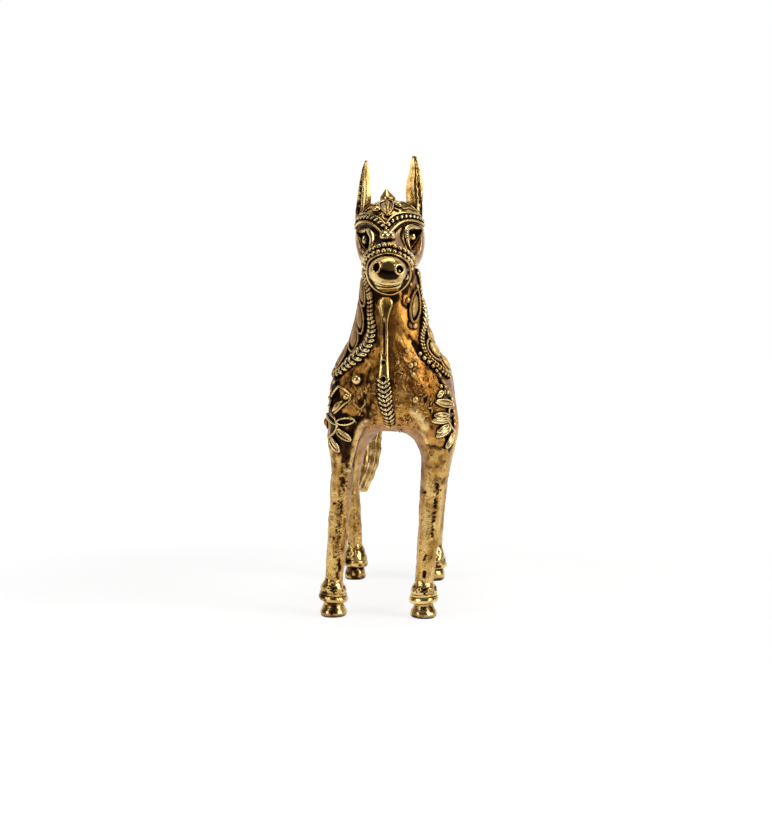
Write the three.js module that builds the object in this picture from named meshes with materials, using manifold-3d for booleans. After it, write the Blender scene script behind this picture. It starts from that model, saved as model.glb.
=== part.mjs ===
import * as THREE from "three";
import { mergeVertices } from "three/addons/utils/BufferGeometryUtils.js";
import Module from "manifold-3d";

// A cast brass horse, in millimetres. x runs to the horse's left, y from its face to its tail, z up.
// y is 0 over the front hooves and z is 0 at the soles until the finished horse is centred.
const clearance = 0.3;

// Feet: a flared hoof, a ring and a rounded fetlock, turned about an upright axis.
const hoofHeight = 4.7;
const hoofSoleRadius = 4.4;
const hoofTopRadius = 3.4;
const ringHeight = 2.2;
const ringRadius = 4.8;
const fetlockHeight = 4;
const fetlockRadius = 4.2;

// Stance: where the feet stand, how the legs lean and where the leg castings are joined.
const footSpacing = 29.2;
const sidewaysLean = -3.9;
const wheelbase = 72;
const legSpacingAtTop = 29.6;
const shankRadius = 3.3;
const thighRadius = 4.4;
const legJointHeight = 38.5;

// Barrel of the body.
const bellyHeight = 58.5;
const barrelDepth = 28.6;
const chestWidth = 37.6;
const waistWidth = 31;
const rumpWidth = 34.5;
const chestReach = 11.5;
const rumpReach = 15;

// Neck, from inside the shoulders up to the skull.
const neckRise = 36;
const neckBaseWidth = 28.4;
const neckTopWidth = 16;
const neckBaseDepth = 28.6;
const neckTopDepth = 20;

// Head: the skull, the snout and the ball of the muzzle, turned a little to the horse's left.
const headLength = 39;
const headDrop = 13.5;
const headTurn = 4;
const skullWidth = 22;
const skullDepth = 19;
const snoutWidth = 12.6;
const snoutDepth = 14;
const muzzleWidth = 12.6;
const muzzleDepth = 10.4;
const nostrilSpacing = 7;
const nostrilRadius = 1.25;
const nostrilDepth = 1.8;

// Ears: tall leaves, hollow in front.
const earHeight = 17.2;
const rightEarDrop = 1.2;
const earWidth = 5;
const earDepth = 2.2;
const earWall = 0.9;
const earSpacing = 16.4;
const earRoot = 2.5;

// Threads and beads laid on the casting.
const wireRadius = 0.5;
const ropeRadius = 0.75;
const beadRadius = 0.72;
const eyeLength = 6.4;
const eyeWidth = 4.2;
const eyeSpacing = 13.9;
const eyeBallRadius = 1.1;
const noseStudRadius = 1.2;
const dropRadius = 0.95;
const crestRadius = 1.9;
const topknotWidth = 4.8;
const topknotHeight = 3.4;
const strapRadius = 1.35;
const strapBulbRadius = 2.1;
const braidRadius = 1.9;
const reinRadius = 1.5;
const leafLength = 8.4;
const leafWidth = 4.2;
const leafThickness = 1.5;
const foreheadLeafLength = 4.6;
const petalLength = 5.2;
const petalWidth = 2.1;
const petalThickness = 1.6;
const studRadius = 1.75;
const bossRadius = 1.7;
const tailWidth = 6.4;
const tailThickness = 3.4;
const saddleLength = 27;
const saddleWrap = 74;
const saddleThickness = 1.1;

// Heights and places that follow from those sizes.
const ankleTop = hoofHeight + clearance + ringHeight + fetlockHeight;
const barrelMiddle = bellyHeight + barrelDepth / 2;
const backHeight = bellyHeight + barrelDepth;
const skullHeight = backHeight + neckRise;
const muzzleHeight = skullHeight - headDrop;
const snoutShare = 0.77;
const throatHeight = muzzleHeight - snoutDepth / 2;
const headPlace = new THREE.Vector3(-0.9, 6.5, skullHeight);
const headTwist = THREE.MathUtils.degToRad(headTurn);

const wasm = await Module();
wasm.setup();

const brass = (name, color, roughness) => new THREE.MeshStandardMaterial({ name, color, roughness, metalness: 1 });
const bodyBrass = brass("aged_brass", 0xa9803c, 0.45);
const brightBrass = brass("polished_brass", 0xd4ad5c, 0.25);
const reliefBrass = brass("relief_brass", 0xc89a4a, 0.35);

const horse = new THREE.Group();

function add(name, geometry, material) {
  const mesh = new THREE.Mesh(geometry, material);
  mesh.name = name;
  horse.add(mesh);
  return mesh;
}

// Joined vertices and outward faces, which every solid here has.
function closed(positions, faces) {
  const loose = new THREE.BufferGeometry();
  loose.setAttribute("position", new THREE.Float32BufferAttribute(positions, 3));
  loose.setIndex(faces);
  return outward(loose);
}

function outward(geometry) {
  const bare = geometry.clone();
  bare.deleteAttribute("uv");
  bare.deleteAttribute("normal");
  const joined = mergeVertices(bare, 1e-4);
  const index = Array.from(joined.index.array);
  const kept = [];
  for (let i = 0; i < index.length; i += 3) {
    const [a, b, c] = index.slice(i, i + 3);
    if (a !== b && b !== c && c !== a) kept.push(a, b, c);
  }
  if (volume(joined.attributes.position, kept) < 0) kept.reverse();
  joined.setIndex(kept);
  joined.computeVertexNormals();
  return joined;
}

function volume(position, index) {
  const [a, b, c] = [new THREE.Vector3(), new THREE.Vector3(), new THREE.Vector3()];
  let sum = 0;
  for (let i = 0; i < index.length; i += 3) {
    a.fromBufferAttribute(position, index[i]);
    b.fromBufferAttribute(position, index[i + 1]);
    c.fromBufferAttribute(position, index[i + 2]);
    sum += a.dot(b.cross(c)) / 6;
  }
  return sum;
}

function solid(geometry) {
  const joined = outward(geometry);
  return new wasm.Manifold(new wasm.Mesh({
    numProp: 3,
    vertProperties: new Float32Array(joined.attributes.position.array),
    triVerts: new Uint32Array(joined.index.array),
  }));
}

function geometryOf(body) {
  const mesh = body.getMesh();
  return closed(Array.from(mesh.vertProperties), Array.from(mesh.triVerts));
}

function cut(geometry, ...tools) {
  let body = solid(geometry);
  for (const tool of tools) body = body.subtract(solid(tool));
  const largest = body.decompose().sort((a, b) => b.volume() - a.volume())[0];
  return geometryOf(largest);
}

function join(pieces) {
  let body = solid(pieces[0]);
  for (const piece of pieces.slice(1)) body = body.add(solid(piece));
  return geometryOf(body);
}

// Closed skin over rings of points, with a single point at each end.
function skin(rings, firstTip, lastTip) {
  const sides = rings[0].length;
  const points = [...rings.flat(), firstTip, lastTip];
  const faces = [];
  for (let r = 0; r < rings.length - 1; r++) {
    for (let s = 0; s < sides; s++) {
      const a = r * sides + s;
      const b = r * sides + (s + 1) % sides;
      faces.push(a, b, a + sides, b, b + sides, a + sides);
    }
  }
  const last = (rings.length - 1) * sides;
  for (let s = 0; s < sides; s++) {
    const next = (s + 1) % sides;
    faces.push(next, s, rings.length * sides);
    faces.push(last + s, last + next, rings.length * sides + 1);
  }
  return closed(points.flatMap((p) => p.toArray()), faces);
}

// Limb or body: elliptical rings square to a smooth path through stations of place, half width and half height.
function limb(stations, steps, sides, { turn = 0, grow = 0 } = {}) {
  const path = new THREE.CatmullRomCurve3(stations.map((s) => s.at));
  const sizes = new THREE.CatmullRomCurve3(stations.map((s) => new THREE.Vector3(s.wide, s.tall, 0)));
  const across = new THREE.Vector3(Math.cos(turn), Math.sin(turn), 0);
  const rings = [];
  const tips = [];
  for (let i = 0; i <= steps; i++) {
    const centre = path.getPoint(i / steps);
    const size = sizes.getPoint(i / steps);
    const forward = path.getTangent(i / steps);
    const up = new THREE.Vector3().crossVectors(forward, across).normalize();
    const ring = [];
    for (let s = 0; s < sides; s++) {
      const angle = (2 * Math.PI * s) / sides;
      ring.push(centre.clone()
        .addScaledVector(across, (size.x + grow) * Math.cos(angle))
        .addScaledVector(up, (size.y + grow) * Math.sin(angle)));
    }
    rings.push(ring);
    const cap = 0.22 * Math.min(size.x, size.y) + grow;
    if (i === 0) tips.push(centre.clone().addScaledVector(forward, -cap));
    if (i === steps) tips.push(centre.clone().addScaledVector(forward, cap));
  }
  return skin(rings, tips[0], tips[1]);
}

const place = (x, y, z) => new THREE.Vector3(x, y, z);

// Barrel: chest, waist and rump along y.
function barrel(grow) {
  const chest = chestWidth / 2;
  const rump = rumpWidth / 2;
  const deep = barrelDepth / 2;
  const end = wheelbase + rumpReach;
  const stations = [
    { at: place(0, -chestReach, barrelMiddle - 1), wide: 0.58 * chest, tall: 0.46 * deep },
    { at: place(0, -0.82 * chestReach, barrelMiddle - 0.5), wide: 0.82 * chest, tall: 0.66 * deep },
    { at: place(0, -0.36 * chestReach, barrelMiddle + 0.5), wide: 0.96 * chest, tall: 0.78 * deep },
    { at: place(0, 0.55 * chestReach, barrelMiddle + 1), wide: chest, tall: 0.88 * deep },
    { at: place(0, 0.28 * wheelbase, barrelMiddle), wide: 0.95 * chest, tall: deep },
    { at: place(0, 0.52 * wheelbase, barrelMiddle + 1), wide: waistWidth / 2, tall: 0.87 * deep },
    { at: place(0, 0.76 * wheelbase, barrelMiddle + 1), wide: 0.96 * rump, tall: 0.94 * deep },
    { at: place(0, wheelbase, barrelMiddle + 0.5), wide: rump, tall: 0.98 * deep },
    { at: place(0, wheelbase + 0.55 * rumpReach, barrelMiddle), wide: 0.86 * rump, tall: 0.82 * deep },
    { at: place(0, end - 1, barrelMiddle), wide: 0.46 * rump, tall: 0.42 * deep },
  ];
  return limb(stations, 15, 24, { grow });
}

// Neck: an upright loft, broad where it leaves the shoulders and narrow behind the skull.
function neckForm(grow) {
  const base = backHeight - 13;
  const stations = [
    { at: place(0, 6, base), wide: 0.53 * neckBaseWidth, tall: 0.53 * neckBaseDepth },
    { at: place(0, 4.2, backHeight - 3.5), wide: neckBaseWidth / 2, tall: neckBaseDepth / 2 },
    { at: place(0, 2.6, backHeight + 0.14 * neckRise), wide: 0.4 * neckBaseWidth, tall: 0.43 * neckBaseDepth },
    { at: place(0, 1.9, backHeight + 0.37 * neckRise), wide: 0.56 * neckTopWidth, tall: 0.56 * neckTopDepth },
    { at: place(0, 2.2, backHeight + 0.62 * neckRise), wide: neckTopWidth / 2, tall: neckTopDepth / 2 },
    { at: place(0, 3, backHeight + 0.9 * neckRise), wide: 0.42 * neckTopWidth, tall: 0.42 * neckTopDepth },
  ];
  return limb(stations, 9, 20, { grow });
}

// A point of the head's middle line: how far along from the back of the skull, and how far below the skull.
function headPoint(share, drop) {
  const ahead = new THREE.Vector3(Math.sin(headTwist), -Math.cos(headTwist), 0);
  return headPlace.clone().addScaledVector(ahead, share * headLength).add(place(0, 0, -drop * headDrop));
}

function headForm(grow) {
  const stations = [
    { at: headPoint(0, -0.02), wide: 0.2 * skullWidth, tall: 0.24 * skullDepth },
    { at: headPoint(0.1, -0.07), wide: 0.4 * skullWidth, tall: 0.42 * skullDepth },
    { at: headPoint(0.25, -0.06), wide: 0.485 * skullWidth, tall: skullDepth / 2 },
    { at: headPoint(0.4, 0.06), wide: skullWidth / 2, tall: skullDepth / 2 },
    { at: headPoint(0.53, 0.32), wide: 0.455 * skullWidth, tall: 0.44 * skullDepth },
    { at: headPoint(0.65, 0.65), wide: 0.58 * snoutWidth, tall: 0.54 * snoutDepth },
    { at: headPoint(snoutShare, 0.92), wide: 0.47 * snoutWidth, tall: 0.46 * snoutDepth },
    { at: headPoint(0.84, 0.95), wide: muzzleWidth / 2, tall: muzzleDepth / 2 },
    { at: headPoint(0.92, 0.94), wide: 0.46 * muzzleWidth, tall: 0.46 * muzzleDepth },
    { at: headPoint(0.985, 0.94), wide: 0.25 * muzzleWidth, tall: 0.26 * muzzleDepth },
  ];
  return limb(stations, 18, 20, { turn: headTwist, grow });
}

function nostrilBore(side) {
  const start = headPoint(1, 0.87);
  const bore = new THREE.CylinderGeometry(nostrilRadius, nostrilRadius, 2 * nostrilDepth + 4, 10);
  bore.rotateX(Math.PI / 2);
  bore.rotateZ(headTwist);
  bore.translate(start.x + side * nostrilSpacing / 2, start.y + 1.1, start.z);
  return bore;
}

const torso = add("torso", barrel(0), bodyBrass);
const head = add("head", cut(headForm(0), nostrilBore(-1), nostrilBore(1)), brightBrass);
const neck = add("neck", cut(neckForm(0), barrel(clearance), headForm(clearance)), bodyBrass);

// Legs: thigh and shank castings, each a tapering column, meeting at a visible joint.
const legJoint = legJointHeight - clearance / 2;

function legPoint(side, front, share, z, shift = 0) {
  const topX = side * legSpacingAtTop / 2;
  const footX = sidewaysLean + side * footSpacing / 2;
  return place(THREE.MathUtils.lerp(topX, footX, share) + shift, front ? 0 : wheelbase, z);
}

const rearBow = -1.2;

function thighForm(side, front, grow) {
  const bow = front ? 0 : rearBow;
  const at = (share, z, shift) => legPoint(side, front, share, z, shift);
  const stations = [
    { at: at(0, bellyHeight + 0.3 * barrelDepth, -side * 5.2), wide: 2.2 * thighRadius, tall: 1.95 * thighRadius },
    { at: at(0, bellyHeight + 2.5, -side * 3), wide: 1.82 * thighRadius, tall: 1.8 * thighRadius },
    { at: at(0, bellyHeight - 2, -side * 0.8), wide: 1.33 * thighRadius, tall: 1.5 * thighRadius },
    { at: at(0.1, bellyHeight - 10), wide: thighRadius, tall: 1.15 * thighRadius },
    { at: at(0.33, legJointHeight + 2.5, 0.7 * bow), wide: 1.1 * shankRadius, tall: 1.15 * shankRadius },
    { at: at(0.38, legJointHeight - 2, 0.8 * bow), wide: 1.05 * shankRadius, tall: 1.1 * shankRadius },
  ];
  return limb(stations, 8, 14, { grow });
}

function shankForm(side, front) {
  const bow = front ? 0 : rearBow;
  const at = (share, z, shift) => legPoint(side, front, share, z, shift);
  const stations = [
    { at: at(0.37, legJointHeight + 1, 0.8 * bow), wide: 1.05 * shankRadius, tall: 1.1 * shankRadius },
    { at: at(0.62, THREE.MathUtils.lerp(legJointHeight, ankleTop, 0.45), bow), wide: shankRadius, tall: 1.05 * shankRadius },
    { at: at(0.95, ankleTop + clearance, 0.2 * bow), wide: 0.9 * shankRadius, tall: 0.95 * shankRadius },
  ];
  return limb(stations, 4, 14);
}

function leg(side, front) {
  const name = `${front ? "front" : "rear"}_%_${side > 0 ? "left" : "right"}`;
  const foot = legPoint(side, front, 1, 0);
  const thigh = cut(thighForm(side, front, 0), barrel(clearance), trimBelow(legJoint + clearance));
  const shank = cut(shankForm(side, front), trimAbove(legJoint), trimBelow(ankleTop + clearance));
  const thighMesh = add(name.replace("%", "thigh"), thigh, bodyBrass);
  add(name.replace("%", "shank"), shank, bodyBrass);
  add(name.replace("%", "anklet"), anklet().translate(foot.x, foot.y, 0), brightBrass);
  add(name.replace("%", "hoof"), hoof().translate(foot.x, foot.y, 0), brightBrass);
  return thighMesh;
}

function trimAbove(z) {
  return new THREE.BoxGeometry(60, 40 + 2 * wheelbase + 2 * rumpReach, 60).translate(0, wheelbase / 2, z + 30);
}

function trimBelow(z) {
  return trimAbove(z).translate(0, 0, -60);
}

function turned(profile, sides) {
  const shape = profile.map(([radius, z]) => new THREE.Vector2(radius, z));
  return outward(new THREE.LatheGeometry(shape, sides).rotateX(Math.PI / 2));
}

function hoof() {
  return turned([
    [0, 0],
    [0.93 * hoofSoleRadius, 0],
    [hoofSoleRadius, 0.1 * hoofHeight],
    [0.94 * hoofSoleRadius, 0.32 * hoofHeight],
    [0.86 * hoofTopRadius, 0.66 * hoofHeight],
    [hoofTopRadius, hoofHeight],
    [0, hoofHeight],
  ], 14);
}

function anklet() {
  const base = hoofHeight + clearance;
  const neckZ = base + ringHeight;
  return turned([
    [0, base],
    [0.86 * ringRadius, base],
    [ringRadius, base + 0.3 * ringHeight],
    [ringRadius, base + 0.7 * ringHeight],
    [0.8 * fetlockRadius, neckZ],
    [fetlockRadius, neckZ + 0.34 * fetlockHeight],
    [0.94 * fetlockRadius, neckZ + 0.7 * fetlockHeight],
    [0.7 * fetlockRadius, ankleTop],
    [0, ankleTop],
  ], 14);
}

const frontThighs = { 1: leg(1, true), [-1]: leg(-1, true) };
for (const side of [1, -1]) leg(side, false);

// Where a straight look from outside first meets the casting, and which way the surface faces there.
const look = new THREE.Raycaster();

function spotFrom(origin, direction, carriers) {
  look.set(origin, direction.clone().normalize());
  const hit = look.intersectObjects(carriers, false)[0];
  return hit ? { point: hit.point, normal: hit.normal.clone().normalize() } : null;
}

// Seen from the front; a look that passes the edge is drawn in towards the middle until it meets the surface.
function frontSpot(x, z, carriers) {
  for (let pull = 1; pull > 0.3; pull -= 0.03) {
    const spot = spotFrom(place(x * pull, -100, z), place(0, 1, 0), carriers);
    if (spot) return spot;
  }
  throw new Error(`nothing lies behind ${x}, ${z}`);
}

const sideSpot = (side, y, z, carriers) => spotFrom(place(side * 100, y, z), place(-side, 0, 0), carriers);
const rearSpot = (x, z, carriers) => spotFrom(place(x, 250, z), place(0, -1, 0), carriers);
const topSpot = (x, y, carriers) => spotFrom(place(x, y, 300), place(0, 0, -1), carriers);

// Towards an upright line through the skull, from an angle counted from the face.
function skullSpot(degrees, z) {
  const angle = THREE.MathUtils.degToRad(degrees) + headTwist;
  const middle = headPoint(0.32, 0);
  const away = place(Math.sin(angle), -Math.cos(angle), 0);
  return spotFrom(place(middle.x, middle.y, z).addScaledVector(away, 60), away.clone().negate(), [head]);
}

// Towards the snout's own axis, from an angle counted from its top.
function snoutSpot(share, degrees) {
  const angle = THREE.MathUtils.degToRad(degrees);
  const behind = headPoint(share - 0.05, snoutDropAt(share - 0.05));
  const ahead = headPoint(share + 0.05, snoutDropAt(share + 0.05));
  const axis = ahead.clone().sub(behind).normalize();
  const across = new THREE.Vector3(Math.cos(headTwist), Math.sin(headTwist), 0);
  const up = new THREE.Vector3().crossVectors(axis, across).normalize();
  const middle = behind.add(ahead).multiplyScalar(0.5);
  const away = across.multiplyScalar(Math.sin(angle)).addScaledVector(up, Math.cos(angle));
  return spotFrom(middle.clone().addScaledVector(away, 40), away.clone().negate(), [head]);
}

function snoutDropAt(share) {
  return THREE.MathUtils.mapLinear(share, 0.53, snoutShare, 0.32, 0.92);
}

// Underside points are lifted until they clear the carriers, as a soft thread does that is laid on them.
function laid(geometry, samples, carriers) {
  const bare = outward(geometry);
  const position = bare.attributes.position;
  const point = new THREE.Vector3();
  for (let i = 0; i < position.count; i++) {
    point.fromBufferAttribute(position, i);
    let nearest = samples[0];
    for (const sample of samples) {
      if (sample.point.distanceToSquared(point) < nearest.point.distanceToSquared(point)) nearest = sample;
    }
    const under = spotFrom(point.clone().addScaledVector(nearest.normal, 5), nearest.normal.clone().negate(), carriers);
    if (!under) continue;
    const gap = point.clone().sub(under.point).dot(nearest.normal);
    if (gap < clearance) point.addScaledVector(nearest.normal, clearance - gap);
    position.setXYZ(i, point.x, point.y, point.z);
  }
  return outward(bare);
}

// Thread along spots of the surface. swell gives its thickness along the way, as a factor of the radius.
function thread(spots, radius, carriers, { steps = 24, sides = 5, swell = () => 1, wide = 1, loop = false } = {}) {
  const rise = clearance + 0.55 * radius;
  const places = spots.map((s) => s.point.clone().addScaledVector(s.normal, rise));
  const path = new THREE.CatmullRomCurve3(places, loop);
  const faces = new THREE.CatmullRomCurve3(spots.map((s) => s.normal), loop);
  const rings = [];
  const samples = [];
  const count = loop ? steps - 1 : steps;
  for (let i = 0; i <= count; i++) {
    const u = i / steps;
    const t = path.getUtoTmapping(u);
    const centre = path.getPoint(t);
    const along = path.getTangent(t);
    const out = faces.getPoint(t).normalize();
    const across = new THREE.Vector3().crossVectors(along, out).normalize();
    const up = new THREE.Vector3().crossVectors(across, along).normalize();
    const size = radius * swell(u);
    const ring = [];
    for (let s = 0; s < sides; s++) {
      const angle = (2 * Math.PI * (s + 0.5)) / sides;
      ring.push(centre.clone()
        .addScaledVector(across, wide * size * Math.cos(angle))
        .addScaledVector(up, size * Math.sin(angle)));
    }
    rings.push(ring);
    samples.push({ point: centre, normal: out, along });
  }
  if (loop) return laid(hoop(rings), samples, carriers);
  const [first, last] = [samples[0], samples.at(-1)];
  const firstTip = first.point.clone().addScaledVector(first.along, -0.5 * radius * swell(0));
  const lastTip = last.point.clone().addScaledVector(last.along, 0.5 * radius * swell(1));
  return laid(skin(rings, firstTip, lastTip), samples, carriers);
}

// Closed skin over rings that come round to the first again.
function hoop(rings) {
  const sides = rings[0].length;
  const faces = [];
  for (let r = 0; r < rings.length; r++) {
    for (let s = 0; s < sides; s++) {
      const next = ((r + 1) % rings.length) * sides;
      const a = r * sides + s;
      const b = r * sides + (s + 1) % sides;
      faces.push(a, b, next + s, b, next + (s + 1) % sides, next + s);
    }
  }
  return closed(rings.flat().flatMap((p) => p.toArray()), faces);
}

// Beads in a row, as a swelling that comes and goes.
const beads = (count) => (u) => 0.62 + 0.38 * Math.abs(Math.sin(Math.PI * count * u));

// Rounded pad lying on the surface at a spot: a leaf, petal, stud or ball.
function pad(spot, along, length, width, thickness, carriers, { pointed = 1.6, sides = 8, rows = 6 } = {}) {
  const form = new THREE.SphereGeometry(1, sides, rows);
  const position = form.attributes.position;
  const axis = along.clone().addScaledVector(spot.normal, -along.dot(spot.normal)).normalize();
  const across = new THREE.Vector3().crossVectors(spot.normal, axis);
  for (let i = 0; i < position.count; i++) {
    const [x, y, z] = [position.getX(i), position.getY(i), position.getZ(i)];
    const taper = Math.pow(Math.max(1 - y * y, 0), (pointed - 1) / 2);
    const spread = spot.point.clone()
      .addScaledVector(axis, y * length / 2)
      .addScaledVector(across, x * taper * width / 2)
      .addScaledVector(spot.normal, clearance + 0.3 * thickness + z * taper * thickness / 2);
    position.setXYZ(i, spread.x, spread.y, spread.z);
  }
  return laid(form, [spot], carriers);
}

const ball = (spot, radius, carriers) => pad(spot, place(0, 0, 1), 2 * radius, 2 * radius, 2 * radius, carriers, {
  pointed: 1,
});

// Ears: nested arcs from root to tip, the inner one open to the front.
function ear(side) {
  const root = headPoint(0.24, 0);
  const foot = place(root.x + side * earSpacing / 2, root.y, skullHeight + 0.34 * skullDepth);
  const tall = side > 0 ? earHeight : earHeight - rightEarDrop;
  const rings = [];
  const steps = 8;
  for (let i = 0; i <= steps; i++) {
    const t = i / steps;
    const half = earWidth / 2 * (0.62 + 1.5 * t - 2.06 * t * t);
    const deep = earDepth * (1 - 0.7 * t);
    const wall = earWall * (1 - 0.55 * t);
    const centre = foot.clone().add(place(-side * 0.6 * t * t, 0.6 * t, -earRoot + t * (tall + earRoot)));
    const ring = [];
    for (let s = 0; s <= 6; s++) {
      const angle = (Math.PI * s) / 6;
      ring.push(centre.clone().add(place(half * Math.cos(angle), wall / 2 + deep * Math.sin(angle), 0)));
    }
    for (let s = 5; s >= 1; s--) {
      const angle = (Math.PI * s) / 6;
      ring.push(centre.clone().add(place(0.9 * half * Math.cos(angle), 0.7 * deep * Math.sin(angle) - wall / 2, 0)));
    }
    rings.push(ring);
  }
  const top = rings.at(-1)[3].clone().add(place(0, 0, 0.4));
  const bottom = foot.clone().add(place(0, 0.5 * earDepth, -earRoot - 0.2));
  return cut(skin(rings, bottom, top), headForm(clearance));
}

add("ear_left", ear(1), brightBrass);
add("ear_right", ear(-1), brightBrass);

// Topknot: a small faceted peak on the crown.
function topknot() {
  const seat = headPoint(0.27, 0);
  const spot = topSpot(seat.x, seat.y, [head]);
  const peak = new THREE.ConeGeometry(topknotWidth / 2, topknotHeight, 6, 2);
  peak.rotateX(Math.PI / 2);
  peak.translate(spot.point.x, spot.point.y, spot.point.z + topknotHeight / 2 + clearance - 0.3);
  return laid(peak, [{ point: spot.point, normal: place(0, 0, 1) }], [head]);
}

add("topknot", topknot(), brightBrass);

// Browband: three strands that arch over each eye and dip to a point between them.
const browHeight = skullHeight + 0.085 * skullDepth;
const browRises = [[0, 0], [7, 1.7], [17, 3.3], [30, 3.8], [46, 3.5], [62, 2.6], [80, 1.2], [100, -0.2]];

function browStrand(shift, radius, options) {
  const half = browRises.slice(1).map(([angle, rise]) => [angle, rise]);
  const order = [...half.map(([angle, rise]) => [-angle, rise]).reverse(), browRises[0], ...half];
  const drawnIn = (angle) => 1 - 0.28 * Math.exp(-((angle / 12) ** 2));
  const spots = order.map(([angle, rise]) => skullSpot(angle, browHeight + rise + shift * drawnIn(angle)));
  return thread(spots, radius, [head], { steps: 30, ...options });
}

const strandPitch = ropeRadius + wireRadius + clearance;
add("brow_wire_upper", browStrand(1.3 * strandPitch, wireRadius), reliefBrass);
add("brow_rope", browStrand(0, ropeRadius, { steps: 44, swell: beads(22) }), reliefBrass);
add("brow_wire_lower", browStrand(-1.3 * strandPitch, wireRadius), reliefBrass);

// Forehead: a leaf between two drops, above the browband.
const foreheadX = headPoint(0.5, 0).x;
const leafHeight = browHeight + 1.3 * strandPitch + 2 * wireRadius + foreheadLeafLength / 2 + 0.4;
const upright = place(0, 0, 1);
const leafSpot = frontSpot(foreheadX, leafHeight, [head]);
add("forehead_leaf", pad(leafSpot, upright, foreheadLeafLength, 3, 1.1, [head]), reliefBrass);
for (const side of [1, -1]) {
  const dropSpot = skullSpot(side * 17, browHeight + 3.3 + 1.3 * strandPitch + wireRadius + dropRadius + clearance);
  add(`forehead_drop_${side > 0 ? "left" : "right"}`, ball(dropSpot, dropRadius, [head]), brightBrass);
}

// Stud between the eyes, under the browband's dip.
const studHeight = browHeight - 0.94 * strandPitch - wireRadius - noseStudRadius - clearance;
add("nose_stud", ball(skullSpot(0, studHeight), noseStudRadius, [head]), brightBrass);

// Eyes: a raised almond rim round a ball.
function eyeRim(side) {
  const middleX = headPoint(0.5, 0).x + side * eyeSpacing / 2;
  const middleZ = browHeight - 0.6 * eyeLength;
  const spots = [];
  const count = 14;
  for (let i = 0; i < count; i++) {
    const angle = (2 * Math.PI * i) / count;
    const across = eyeWidth / 2 * Math.sin(angle) * (1 - 0.3 * Math.abs(Math.cos(angle)));
    const along = eyeLength / 2 * Math.cos(angle);
    const tilt = side * 0.42;
    const x = middleX + across * Math.cos(tilt) + along * Math.sin(tilt);
    const z = middleZ - across * Math.sin(tilt) + along * Math.cos(tilt);
    spots.push(frontSpot(x, z, [head]));
  }
  return thread(spots, 1.1 * wireRadius, [head], { steps: 18, loop: true });
}

for (const side of [1, -1]) {
  const own = side > 0 ? "left" : "right";
  add(`eye_rim_${own}`, eyeRim(side), brightBrass);
  const centre = frontSpot(headPoint(0.5, 0).x + side * eyeSpacing / 2, browHeight - 0.6 * eyeLength, [head]);
  add(`eye_ball_${own}`, ball(centre, eyeBallRadius, [head]), brightBrass);
}

// Noseband: two rows of beads over the snout, and a wire right round it.
function snoutRow(share, reach, count) {
  const spots = [];
  for (let i = 0; i <= 10; i++) spots.push(snoutSpot(share, THREE.MathUtils.mapLinear(i, 0, 10, -reach, reach)));
  return thread(spots, beadRadius, [head], { steps: 2 * count, swell: beads(count) });
}

const rowShare = (2 * beadRadius + clearance) / (1.08 * headLength);
const wireShare = snoutShare + 0.012;
const innerShare = wireShare - (beadRadius + wireRadius + clearance) / headLength;
add("noseband_beads_outer", snoutRow(innerShare - rowShare, 112, 25), reliefBrass);
add("noseband_beads_inner", snoutRow(innerShare, 105, 22), reliefBrass);

function noseWire() {
  const spots = [];
  for (let i = 0; i < 16; i++) spots.push(snoutSpot(wireShare, (360 * i) / 16));
  return thread(spots, wireRadius, [head], { steps: 24, loop: true });
}

add("nose_wire", noseWire(), brightBrass);

// Breast line: a smooth strap under the chin that ends in a braid above the arch of the legs.
const front = [neck, torso];
const chestX = -1.1;
const strapTop = throatHeight - 2;
const braidTop = barrelMiddle + 0.14 * barrelDepth;
const braidEnd = bellyHeight + 0.23 * barrelDepth;

function chestLine(topZ, endZ, sway, radius, options) {
  const spots = [];
  for (let i = 0; i <= 6; i++) {
    const t = i / 6;
    spots.push(frontSpot(chestX + sway * t * t, THREE.MathUtils.lerp(topZ, endZ, t), front));
  }
  return thread(spots, radius, front, options);
}

const bulb = (u) => 1 + (strapBulbRadius / strapRadius - 1) * Math.exp(-60 * (u - 0.06) ** 2) - 0.5 * Math.exp(-900 * u * u);
const jointGap = 0.5 * (strapRadius + braidRadius) + clearance;
add("breast_strap", chestLine(strapTop, braidTop + jointGap, 0, strapRadius, { steps: 16, sides: 8, swell: bulb }), brightBrass);
add("breast_braid", chestLine(braidTop, braidEnd, 2, braidRadius, { steps: 20, sides: 8, swell: beads(10) }), reliefBrass);

// Reins: thick braids from the jaw down the neck, out over the shoulders and back to the saddle.
const saddleFront = wheelbase / 2 - saddleLength / 2 + 2;
const upNeck = (share) => THREE.MathUtils.lerp(backHeight - 8, throatHeight - 2.5, share);
const shoulderX = chestWidth / 2;

function rein(side) {
  const frontRun = side > 0
    ? [[0.5, 1], [0.52, 0.76], [0.5, 0.56], [0.6, 0.36], [0.74, 0.17]]
    : [[-0.34, 1], [-0.33, 0.78], [-0.35, 0.56], [-0.47, 0.34], [-0.66, 0.17]];
  const spots = frontRun.map(([share, height]) => frontSpot(share * shoulderX, upNeck(height), front));
  const sideRun = [0.03, 0.36, 0.7, 1];
  for (const share of sideRun) {
    const y = THREE.MathUtils.lerp(1, saddleFront - 2.6, share);
    spots.push(sideSpot(side, y, upNeck(0) + 1.5 * Math.sin(Math.PI * share) - 0.5, front));
  }
  const braid = thread(spots, reinRadius, front, { steps: 40, swell: beads(20) });
  return cut(braid, barrel(clearance), neckForm(clearance));
}

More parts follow.
